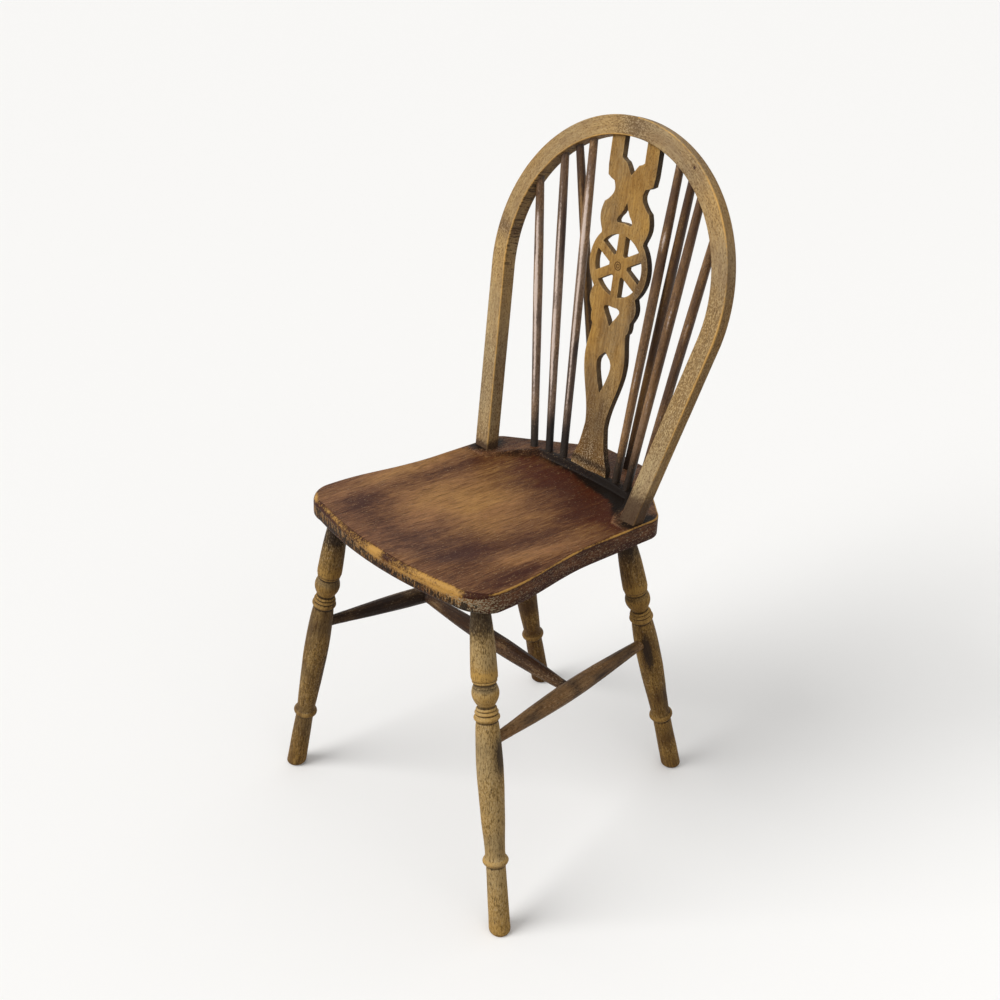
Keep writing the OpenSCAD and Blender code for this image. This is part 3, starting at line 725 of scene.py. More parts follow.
def makeBow():
    # each point of the section goes up the left foot, round the arc at radius + a, and down again
    material = wornWood("worn bow wood", {**bowLook, "extra": bendCracks})
    section = bowSection()
    a, deep = section[None, :, 0], section[None, :, 1]
    # rows stand closer together round the nail hole
    nailRun = legRun + chair["bowRadius"] * (pi + bowLean - radians(bow["nailAngle"]))
    rows = np.concatenate([
        np.linspace(0, legRun, bow["legRows"], endpoint=False),
        np.linspace(legRun, legRun + arcRun, bow["arcRows"], endpoint=False),
        np.linspace(legRun + arcRun, 2 * legRun + arcRun, bow["legRows"]),
        np.arange(nailRun - 3, nailRun + 3, 0.4)])
    s = np.unique(np.round(rows, 3))[:, None]
    # where each line of the section meets the seat's top, and a little below it
    meets = (deep * (sin(rake) - cos(rake) * tan(slope)) / (cos(rake) + sin(rake) * tan(slope))
             - bow["sunk"])
    arc = np.clip(s - legRun, 0, arcRun)
    turn = pi + bowLean - arc / chair["bowRadius"]
    x = (chair["bowRadius"] + a) * np.cos(turn)
    w = bowRise + (chair["bowRadius"] + a) * np.sin(turn)
    left = np.clip(legRun - s, 0, None)
    right = np.clip(s - legRun - arcRun, 0, None)
    bottom = bowRise - (chair["bowRadius"] + a) * sin(bowLean)
    run = (bottom - meets) / cos(bowLean)  # length of the straight at this part of the section
    share = (left + right) / legRun * run
    side = np.sign(x)
    x = x - side * share * sin(bowLean)
    w = w - share * cos(bowLean)

    place = np.stack(np.broadcast_arrays(a, deep, s), axis=-1)
    wear = softNoise(place * (1, 1, 0.4), 9.0, 5)
    broad = softNoise(place * (1, 1, 0.5), 34.0, 6)
    total = 2 * legRun + arcRun
    dark = spotsAlong(s, bow["darkSpots"])
    front = ease(3.0, 0.0, deep)
    half = chair["bowWidth"] / 2
    arris = hump(np.abs(a), half - 0.5, 1.6) * ease(3.4, 0.8, deep)
    behind = ease(chair["bowDepth"] - 4, chair["bowDepth"], deep)
    nearFoot = np.minimum(s, total - s)
    inner = ease(-half + 1.0, -half, a)
    marks = {
        "tone": 0.54 + 0.12 * broad + 0.05 * front - dark - 0.14 * ease(200, 330, nearFoot)
                + 0.06 * inner - 0.15 * behind - 0.25 * ease(45, 0, nearFoot),
        "warm": 0.50 + 0.25 * broad + 0.10 * (1 - front) * np.sign(a) - 0.5 * dark,
        "wear_and_highlight": arris * (0.75 + 0.35 * broad) * np.where((a < 0) == (s < total / 2), 1.0, 0.35),
        "grime_and_shade": (ease(16, 0, nearFoot) * 0.8 + ease(60, 10, nearFoot) * 0.3
                  + ease(total - 95, total - 6, s) * 0.75
                  + 0.45 * inner * ease(150, 0, abs(s - total / 2)) + 0.15 * behind),
        "stipple": np.clip(0.38 + spotsAlong(s, bow["stippleSpots"]) + 0.3 * broad
                           + 0.3 * ease(90, 0, nearFoot), 0, 1.3),
        "hatch": inner * spotsAlong(s, bow["bendCracks"]),
    }
    fromNail = np.hypot(s - nailRun, a - bow["nailOut"])
    hole = ease(bow["nailDia"] / 2 + 0.5, bow["nailDia"] / 2 - 0.1, fromNail) * front
    marks["grime_and_shade"] = marks["grime_and_shade"] + 1.2 * hole
    marks["grain"] = place * mm
    # the front is dented and dimpled over the nail's head, and the sides wander a little
    sunken = bow["nailSunk"] * hole + bow["dents"] * wear * front
    outward = bow["wobble"] * wear * (1 - front)
    x = x + side * outward * np.sign(a) * np.abs(np.cos(turn))
    rings = inBow(x, w, deep + sunken)
    shells = [ringShell(toMetres(rings), marks)]
    shells += [pinShell(side) for side in (-1, 1)]
    makePiece("bow_bent", ["bow"], material, shells)


def pinShell(side):
    # the foot's round tenon, seen end on under the seat
    lower = chair["seatThickness"] / cos(rake)
    start, stop = (inBow(side * (chair["bowFootX"] + w * tan(bowLean)), w, chair["bowDepth"] / 2)
                   for w in (bow["pinTop"], bow["pinLow"]))
    axis = (stop - start) / np.linalg.norm(stop - start)
    normal = np.array([0, sin(slope), cos(slope)])
    under = np.array([0, 0, seatTop(0)]) - normal * (chair["seatThickness"] - 0.1)
    d = np.array([[0.0], [lower * 0.5], [lower * 0.9], [lower]])
    angle = np.linspace(0, 2 * pi, bow["pinAround"], endpoint=False)[None, :]
    across = np.cross(axis, [0.0, 1.0, 0.0])
    across /= np.linalg.norm(across)
    other = np.cross(axis, across)
    radius = bow["pinDia"] / 2
    rings = (start + d[..., None] * axis + (radius * np.cos(angle))[..., None] * across
             + (radius * np.sin(angle))[..., None] * other)
    # the last ring is brought onto the seat's underside
    reach = ((under - rings[-1]) @ normal) / (axis @ normal)
    rings[-1] += reach[:, None] * axis
    blank = np.zeros(rings.shape[:2])
    marks = {"tone": blank + 0.4, "warm": blank + 0.4, "wear_and_highlight": blank, "grime_and_shade": blank + 0.2,
             "stipple": blank + 0.8, "hatch": blank, "grain": rings * mm}
    return ringShell(toMetres(rings), marks)


def bendCracks(recipe, grain, colour, height):
    # fine cracks across the grain on the inside of the bend
    lines = recipe.noise(grain, (30, 45, 420), 2, 0.6, 4.0)
    mask = recipe.step(lines, 0.53, 0.60) * recipe.mark("hatch")
    mask = recipe.step(mask, 0.1, 0.9)
    return recipe.blend(mask * 0.7, colour, tint(bow["crackTint"])), height - mask * 1.2


makeBow()
print("bow bent")

# splat: a front and a back face joined by an edge carried round every outline
splat = {
    "thickness": 9.5, "arris": 0.8, "wheelRadius": 50.5, "wheelHeight": 279.0, "wheelRim": 10.5,
    "spokeWidth": 12.5, "spokes": 6, "hub": 15.6, "hornIn": 19.0, "hornOut": 40.5,
    "hornTop": 445.3, "sunk": 3.0, "spacing": 2.4, "latticeReach": 54.0, "weld": 0.02,
    "golden": [(0, 380, 30, 25, 0.25), (0, 279, 32, 36, 0.25)],  # x, height, both reaches, strength
    "hubRings": (5.2, 2.4), "ringTint": "#452b12",
}
splatLook = {**plainWear, "deepCool": "#55412b", "paleCool": "#a5906c", "deepWarm": "#7a5322",
             "paleWarm": "#bb924b", "wearAndHighlightTint": "#c4a26c", "poreTint": "#3d2a19",
             "streaks": 0.32, "broad": 0.45, "pores": 0.45, "dots": 0.55, "flecks": 0.40,
             "dotCycles": (720, 720, 430)}


def easedRun(v0, x0, v1, x1, count):
    # v runs evenly from v0 to v1, and x follows it as (1 - cos(pi * t)) / 2
    t = np.linspace(0, 1, count + 1)[1:]
    return np.column_stack([x0 + (x1 - x0) * (1 - np.cos(pi * t)) / 2, v0 + (v1 - v0) * t])


def bothSides(half):
    # the right half, then its mirror image back down
    return np.vstack([half, half[::-1] * (-1, 1)])


def splatOutlines():
    # the outer outline first, then the piercings
    def run(*numbers, **words):
        return swell(*numbers, **words)[:, ::-1]
    wheel, radius = splat["wheelHeight"], splat["wheelRadius"]
    top = splat["hornTop"]
    half = np.vstack([
        [[32.5, -splat["sunk"]], [32.5, 0], [32.2, 9]],
        run(13, 30.8, 62, 17.5, -2.6, count=14, skew=0.7),
        easedRun(62, 17.5, 155, 35.5, 18), easedRun(155, 35.5, 196, 30.3, 10),
        [[33.3, 199.5], [34.3, 205]],
        run(212, 34.2, wheel - 35, radius - 13.5, 5.4, count=14),
        arcPoints(0, wheel, radius, -43, 44, 30),
        run(wheel + 38, radius - 14, 354, 38.5, 5, count=14),
        run(357.5, 33.5, 382, 27, -5.8, count=12),
        [[33, 384], [38.8, 387.5], [40.4, 400], [splat["hornOut"], 412], [splat["hornOut"], top],
         [splat["hornIn"], top], [splat["hornIn"], 413], [15.5, 410.5], [10.5, 408.5],
         [6.5, 403.5], [3, 398], [0.3, 394.5]],
    ])
    drops = (
        [[0.6, 358.5], [3.2, 351], [7, 344.5], [11.8, 339], [13.3, 335], [12, 332.8], [0.1, 334]],
        [[0.1, 225], [9, 225.3], [13, 223.6], [13.8, 220.5], [9.8, 214], [5.2, 208], [0.6, 200]],
        [[0.5, 164.4], [4.6, 160.5], [9.4, 156], [12, 150.5], [12.2, 145], [10.8, 137], [8, 128],
         [4.6, 119], [0.5, 109.3]],
    )
    loops = [bothSides(half)] + [bothSides(np.array(drop)) for drop in drops]
    rim = radius - splat["wheelRim"]
    step = 360 / splat["spokes"]
    outerCut = np.degrees(np.arcsin(splat["spokeWidth"] / 2 / rim))
    innerCut = np.degrees(np.arcsin(splat["spokeWidth"] / 2 / splat["hub"]))
    for number in range(splat["spokes"]):
        begin = 90 + number * step
        loops.append(np.vstack([
            arcPoints(0, wheel, rim, begin + outerCut, begin + step - outerCut, 14),
            arcPoints(0, wheel, splat["hub"], begin + step - innerCut, begin + innerCut, 4)]))
    return loops


def evenLoop(loop, spacing):
    # the same closed outline, counter-clockwise, with each of its runs cut into equal steps
    area = np.sum(loop[:, 0] * np.roll(loop[:, 1], -1) - np.roll(loop[:, 0], -1) * loop[:, 1])
    if area < 0:
        loop = loop[::-1]
    closed = np.vstack([loop, loop[:1]])
    length = np.hypot(*np.diff(closed, axis=0).T)
    closed = closed[np.concatenate([[True], length > 0.05])]
    along = lengthAlong(closed)
    counts = np.maximum(1, np.ceil(np.diff(along) / spacing)).astype(int)
    wanted = np.concatenate([np.linspace(begin, finish, count, endpoint=False)
                             for begin, finish, count in zip(along, along[1:], counts)])
    return pointsAt(wanted, along, closed)


def inset(loop, distance, inward):
    # moves each point along the middle of its two edges' normals
    edge = np.roll(loop, -1, axis=0) - loop
    edge /= np.linalg.norm(edge, axis=1)[:, None]
    normal = np.column_stack([-edge[:, 1], edge[:, 0]])
    middle = normal + np.roll(normal, 1, axis=0)
    middle /= np.maximum(np.linalg.norm(middle, axis=1), 0.6)[:, None]
    return loop + middle * distance * (1 if inward else -1)


def distanceTo(points, loops):
    # distance from each point to the nearest edge of the outlines
    best = np.full(len(points), 1e9)
    for loop in loops:
        a, b = loop, np.roll(loop, -1, axis=0)
        along = b - a
        t = np.clip(((points[:, None] - a) * along).sum(-1) / (along ** 2).sum(-1), 0, 1)
        gap = np.linalg.norm(points[:, None] - (a + t[..., None] * along), axis=-1)
        best = np.minimum(best, gap.min(1))
    return best


def fillFace(outlines):
    # Delaunay triangles between the outlines, over a loose lattice kept clear of the edges
    step, reach = splat["spacing"], splat["latticeReach"]
    gridX, gridV = np.meshgrid(np.arange(-reach, reach, step),
                               np.arange(-2, splat["hornTop"], step))
    loose = np.column_stack([gridX.ravel(), gridV.ravel()])
    loose = loose[distanceTo(loose, outlines) > step * 0.6]
    edges, loops = [], []
    start = 0
    for outline in outlines:
        index = np.arange(start, start + len(outline))
        edges += np.column_stack([index, np.roll(index, -1)]).tolist()
        loops.append(index.tolist())
        start += len(outline)
    made = delaunay_2d_cdt(np.vstack(outlines + [loose]).tolist(), edges, loops, 0, 1e-4, True)
    # kept: triangles inside the outer outline and in none of the piercings
    inside = np.array([0 in owners and len(owners) == 1 for owners in made[5]])
    faces = np.array(made[2])[inside]
    used, faces = np.unique(faces, return_inverse=True)
    return np.array(made[0])[used], faces.reshape(-1, 3)


def splatMarks(local, loops):
    # darker and more stippled low down and on the right, rubbed along the arrises
    x, v, deep = local.T
    thick = splat["thickness"]
    gap = distanceTo(local[:, :2], loops)
    onEdge = ease(0.15, 0.9, deep) * ease(thick - 0.15, thick - 0.9, deep)
    wear = softNoise(local * (1, 0.4, 1), 12.0, 71)
    broad = softNoise(local * (1, 0.6, 1), 40.0, 72)
    low = ease(190, 20, v)
    rightSide = ease(24, 44, x) * ease(150, 230, v) * ease(340, 315, v)
    marks = {
        "tone": 0.52 + 0.10 * broad - 0.26 * low - 0.22 * rightSide - 0.14 * onEdge
                - 0.15 * ease(thick - 1, thick, deep) - 0.10 * ease(28, 0, v),
        "warm": 0.68 + 0.20 * broad - 0.15 * low - 0.40 * rightSide - 0.35 * onEdge
                + patches(x, v, splat["golden"]),
        # worn: rubbed arrises and some wear low down, and at the foot of the front face a pale line,
        # a painted highlight
        "wear_and_highlight": 0.55 * hump(gap, 0.3, 1.1) * (1 - onEdge) + 0.15 * wear * low
                + 0.45 * hump(v, 1.0, 1.3) * (deep < 2),
        # grime: the sawn edges carry dirt, and towards the right a painted shade deepens them along
        # with stain
        "grime_and_shade": (onEdge * (0.35 + 0.4 * ease(12, 34, x)) * (1 + 0.4 * wear)
                  + 0.75 * hump(v, 10, 7.5) + 0.35 * ease(418, 434, v)),
        "stipple": np.clip(0.15 + 0.75 * low + 0.7 * rightSide + 0.25 * wear
                           + 0.4 * ease(50, 10, v), 0, 1.4),
    }
    marks = {name: mark[:, None] for name, mark in marks.items()}
    marks["grain"] = np.column_stack([x, deep, v]) * mm
    return marks


def makeSplat():
    # the filled face lies at both depths, and the edge's profile is carried round every outline
    material = wornWood("worn splat wood", {**splatLook, "extra": hubRings})
    loops = [evenLoop(loop, splat["spacing"] * 0.6) for loop in splatOutlines()]
    flat, faces = fillFace([inset(loop, splat["arris"], number == 0)
                            for number, loop in enumerate(loops)])
    print("splat face:", len(flat), "points", len(faces), "triangles")
    thick = splat["thickness"]
    points = [np.column_stack([flat, np.full(len(flat), deep)]) for deep in (0.0, thick)]
    triangles = np.vstack([faces, faces[:, ::-1] + len(flat)])
    # the edge's profile: a quarter round, the straight, and a quarter round
    turn = np.radians(np.array([0, 30, 60, 90]))
    edgeIn = splat["arris"] * (1 - np.sin(turn))
    edgeDeep = splat["arris"] * (1 - np.cos(turn))
    profileIn = np.concatenate([edgeIn, [0, 0], edgeIn[::-1]])
    profileDeep = np.concatenate([edgeDeep, [thick * 0.35, thick * 0.65], thick - edgeDeep[::-1]])
    quads = []
    base = 2 * len(flat)
    for number, loop in enumerate(loops):
        rows = np.stack([np.column_stack([inset(loop, by, number == 0), np.full(len(loop), deep)])
                         for by, deep in zip(profileIn, profileDeep)])
        index = base + np.arange(rows.shape[0] * rows.shape[1]).reshape(rows.shape[:2])
        ahead = np.roll(index, -1, axis=1)
        wall = np.stack([index[:-1], index[1:], ahead[1:], ahead[:-1]], -1).reshape(-1, 4)
        quads.append(wall if number == 0 else wall[:, ::-1])
        points.append(rows.reshape(-1, 3))
        base += index.size
    local = np.vstack(points)
    x, v, deep = local.T
    lean = radians(chair["splatRake"])
    world = toMetres(np.column_stack([
        x, chair["splatY"] + v * sin(lean) + deep * cos(lean),
        seatTop(chair["splatY"]) + v * cos(lean) - deep * sin(lean)]))
    quads, triangles = facedOut(world, np.vstack(quads), triangles)
    shell = {"points": world, "quads": quads, "triangles": triangles,
             "marks": splatMarks(local, loops)}
    piece = makePiece("splat_sawn", ["splat"], material, [shell])
    # the faces are joined to the edge strips, whose border points coincide
    work = bmesh.new()
    work.from_mesh(piece.data)
    bmesh.ops.remove_doubles(work, verts=work.verts, dist=splat["weld"] * mm)
    work.to_mesh(piece.data)
    work.free()


def hubRings(recipe, grain, colour, height):
    # two scribed rings and a centre mark on the hub
    offset = recipe.node("ShaderNodeVectorMath", {"operation": "SUBTRACT"},
                         {0: grain, 1: (0.0, 0.0, splat["wheelHeight"] * mm)})
    flatten = recipe.node("ShaderNodeVectorMath", {"operation": "MULTIPLY"},
                          {0: offset.outputs[0], 1: (1000.0, 0.0, 1000.0)})
    length = recipe.node("ShaderNodeVectorMath", {"operation": "LENGTH"},
                         {0: flatten.outputs[0]})
    away = Wire(recipe, length.outputs["Value"])
    facing = recipe.step(recipe.part(grain, 1), 0.0009, 0.0003)
    total = 0.0
    for radius in splat["hubRings"]:
        gap = recipe.maths("ABSOLUTE", away - radius)
        total = recipe.step(gap, 1.0, 0.4) + total
    total = total * facing
    return recipe.blend(total * 0.85, colour, tint(splat["ringTint"])), height - total * 1.5


makeSplat()
print("splat sawn")

# spindles and braces
sticks = {
    "endDia": 10.6, "bellyDia": 12.6, "firstX": 50.0, "stepX": 24.2, "firstAngle": 66.5,
    "stepAngle": 16.0, "back": 7.0, "share": 0.38, "braceX": 29.0, "braceY": 182.0,
    "braceAngle": 58.0, "ledgeCurve": 0.0013, "around": 36, "rowSpacing": 2.4,
    "rubAndHighlightAngle": 0.38, "rubAndHighlightHalf": 0.32, "wobble": 0.12,
}
# the pale wear tint of the sticks also paints their highlight streaks
spindleLook = {**plainWear, "deepCool": "#35261f", "paleCool": "#97806d", "deepWarm": "#4c3018",
               "paleWarm": "#946f45", "wearAndHighlightTint": "#d6c3b6", "poreTint": "#20140f",
               "grimeAndShadeTint": "#14120f", "pores": 0.4, "dots": 0.45, "wear_and_highlight": 0.95,
               "roughness": 0.45, "gloss": 0.35}
braceLook = {**spindleLook, "deepCool": "#2a1b0e", "paleCool": "#6f5735", "deepWarm": "#3c210b",
             "paleWarm": "#7b5728", "wearAndHighlightTint": "#8f6d42", "grimeAndShadeTint": "#150d07"}


def makeSticks():
    # each stick runs from the seat to the arc's own line, thickened by a skewed sine swell
    spindleWood = wornWood("worn spindle wood", spindleLook)
    braceWood = wornWood("worn brace wood", braceLook)
    deep = sticks["share"] * chair["bowDepth"]
    lines = []
    for number in range(1, 7):
        side = -1 if number <= 3 else 1
        order = 3 - number if number <= 3 else number - 4
        x = sticks["firstX"] + order * sticks["stepX"]
        y = chair["splatY"] - 1 + sticks["back"] - sticks["ledgeCurve"] * x * x
        angle = sticks["firstAngle"] - order * sticks["stepAngle"]
        lines.append((f"spindle_{number}", side, x, y, angle, "spindle_wood", spindleWood))
    for side, name in ((-1, "brace_left"), (1, "brace_right")):
        lines.append((name, side, sticks["braceX"], sticks["braceY"], sticks["braceAngle"],
                      "brace_wood", braceWood))
    for number, (name, side, x, y, angle, slot, material) in enumerate(lines):
        low = np.array([side * x, y, seatTop(y)])
        turn = radians(angle)
        high = inBow(side * chair["bowRadius"] * cos(turn),
                     bowRise + chair["bowRadius"] * sin(turn), deep)
        length = np.linalg.norm(high - low)
        radius = sticks["endDia"] / 2
        bulge = (sticks["bellyDia"] - sticks["endDia"]) / 2
        outline = refine(np.vstack([
            [[-4.0, radius]],
            swell(6, radius, length - chair["bowWidth"] / 2 - 8, radius, bulge, 40, 1.6),
            [[length - 3, radius]]]), sticks["rowSpacing"])

        def shape(d, r, angle):
            place = roundPlace(d, r, angle, 0.3)
            wear = softNoise(place, 9.0, 91 + number)
            broad = softNoise(place * (0.4, 0.4, 1), 30.0, 101 + number)
            # foot: darker towards the seat, dirt together with painted shade where the stick meets
            # the seat
            foot = ease(85, 10, d)
            # rubbed: a pale streak down the front of each stick, a painted highlight with some wear,
            # strongest on the left-hand sticks
            rubbed = hump(halfTurns(angle), sticks["rubAndHighlightAngle"], sticks["rubAndHighlightHalf"])
            ends = ease(20, 120, d) * ease(length, length - 120, d)
            # behind: painted shade on the side of each stick away from the light, put into the grime
            # mark
            behind = (1 - np.cos(angle - 0.3)) / 2
            marks = {
                "tone": (0.52 + 0.3 * wear + 0.25 * broad - 0.45 * foot
                         - 0.15 * ease(length * 0.5, length, d)),
                "warm": (0.35 + (0.45 if side > 0 else 0.0) + 0.3 * wear
                         + 0.35 * ease(length * 0.55, length, d)),
                "wear_and_highlight": np.clip((1.3 if side < 0 else 0.25) * rubbed + 0.9 * wear * rubbed
                                + 0.25 * broad, 0, 1) * ends,
                "grime_and_shade": (0.85 * foot + 0.5 * ease(length - 26, length - 12, d)
                          + 0.45 * behind),
                "stipple": 0.4 + 0.5 * wear,
            }
            return marks, r + sticks["wobble"] * wear

        seed = np.array([0.7, 0.2, 0.6]) * (number + 1)
        shell = turnedShell(low, high, outline, sticks["around"], shape, seed)
        makePiece(name + "_turned", [name], material, [shell])


makeSticks()
print("sticks turned")

# seat: rings from the middle out to the rim, over the edge and back underneath
seat = {
    "width": 343.0, "waist": 311.0, "depth": 428.0, "frontBow": 15.0, "frontCorner": 40.0,
    "tailWidth": 76.0, "flankRun": 94.0, "backCorner": 26.0, "tailCorner": 14.0, "sideRun": 150.0,
    "dishDepth": 12.0, "dishAcross": 1000.0, "dishAlong": 3000.0, "dishMiddle": 55.0,
    "ledgeHalf": 92.0, "ledgeCorner": 18.0,
    "hollowEnd": [[99, 104], [112, 72], [124, 56], [230, 40]],  # x, y: the ledge runs out sideways
    "edgeSide": 2.2, "edgeFront": 6.0, "underSide": 2.5, "bevelRun": 13.0, "bevelHeight": 7.0,
    "around": 600, "ledgeEdge": 1.8, "lift": 0.4, "core": 0.012, "stepHalf": 2.6,
    "frontZone": (-170, -205), "topWear": 0.15, "rimWear": 0.35,
    # colour patches on the top, in the seat's own millimetres: x, y, width, height, strength
    "pale": [(-45, -55, 60, 78, 0.30), (-148, -60, 20, 140, 0.25), (128, -70, 16, 90, 0.20),
             (40, -40, 35, 60, 0.10), (-30, 0, 18, 50, 0.08)],
    "dark": [(35, 104, 120, 58, 0.56), (-112, 0, 12, 90, 0.22), (82, -40, 22, 110, 0.22),
             (140, 40, 25, 50, 0.22), (-98, -155, 30, 40, 0.26), (70, -145, 55, 40, 0.24),
             (158, -120, 12, 45, 0.40), (0, -180, 120, 22, 0.08), (100, 80, 40, 30, 0.3)],
    "golden": [(-40, -40, 72, 80, 0.34), (-148, -60, 20, 140, 0.24), (130, 40, 40, 50, 0.35),
               (0, 100, 110, 50, 0.42), (-90, 60, 30, 40, 0.3), (60, -110, 60, 60, 0.2)],
    # dirt round the bow's feet, painted shade under the sticks, a painted black shadow at the ledge
    # step, and the grey corner of the rim
    "roundPosts": [(139, 80, 26, 26, 1.1), (152, 85, 22, 34, 0.9)],
    "shadeUnderSticks": [(75, 132, 55, 20, 1.2), (-60, 138, 45, 10, 0.7)],
    "ledgeShadow": [(88, 122, 34, 15, 1.5)],
    "dustyCorner": [(152, -188, 26, 26, 1.0)],
    "speckTint": "#b89a72", "blackTint": "#140d08",
}
seatLook = {**plainWear, "deepCool": "#34160a", "paleCool": "#986847", "deepWarm": "#471b07",
            "paleWarm": "#b4884a", "wearAndHighlightTint": "#c4954c", "poreTint": "#27130a",
            "poreCycles": (600, 600, 30), "streakCycles": (300, 300, 12), "ringCycles": 60.0,
            "streaks": 0.50, "broad": 0.28, "cloud": 0.22, "rings": 0.03, "pores": 0.45,
            "fibre": 0.85, "dots": 0.30, "flecks": 0.6, "fleckTint": "#a0947a", "drift": 0.5,
            "roughness": 0.52, "gloss": 0.12, "bump": 0.35, "grime_and_shade": 0.96, "grimeAndShadeTint": "#100804"}


def seatOutline():
    # right half from the middle of the front to the middle of the back, then mirrored
    half, waist = seat["width"] / 2, seat["waist"] / 2
    front = chair["seatFront"]
    back = front + seat["depth"]
    shoulder = back - seat["flankRun"]
    corner = seat["frontCorner"]
    cornerX, cornerY = half - corner, front + seat["frontBow"] + corner
    turn = atan2(waist - seat["tailWidth"] / 2, back - shoulder)
    x = np.linspace(0, cornerX, 9)
    t = np.linspace(0, 1, 25)[1:]
    rounded, tail = seat["backCorner"], seat["tailCorner"]
    degrees = np.degrees(turn)
    right = np.vstack([
        np.column_stack([x, front + seat["frontBow"] * (x / cornerX) ** 2]),
        arcPoints(cornerX, cornerY, corner, -80, 0, 20),
        np.column_stack([half + (waist - half) * (1 - np.cos(pi * t)) / 2,
                         cornerY + 10 + seat["sideRun"] * t]),
        arcPoints(waist - rounded, shoulder - rounded * tan(turn / 2), rounded, 0, degrees, 16),
        arcPoints(seat["tailWidth"] / 2 - tail * tan(pi / 4 - turn / 2), back - tail, tail,
                  degrees, 90, 12)])
    return np.vstack([right, right[1:][::-1] * (-1, 1)])


def hollowDepth(x, y):
    # barrel with one radius across the seat and another along it, where it dips under the top
    radius = seat["dishAcross"] - (y - seat["dishMiddle"]) ** 2 / (2 * seat["dishAlong"])
    return np.maximum(0, np.sqrt(radius ** 2 - x ** 2) - seat["dishAcross"] + seat["dishDepth"])


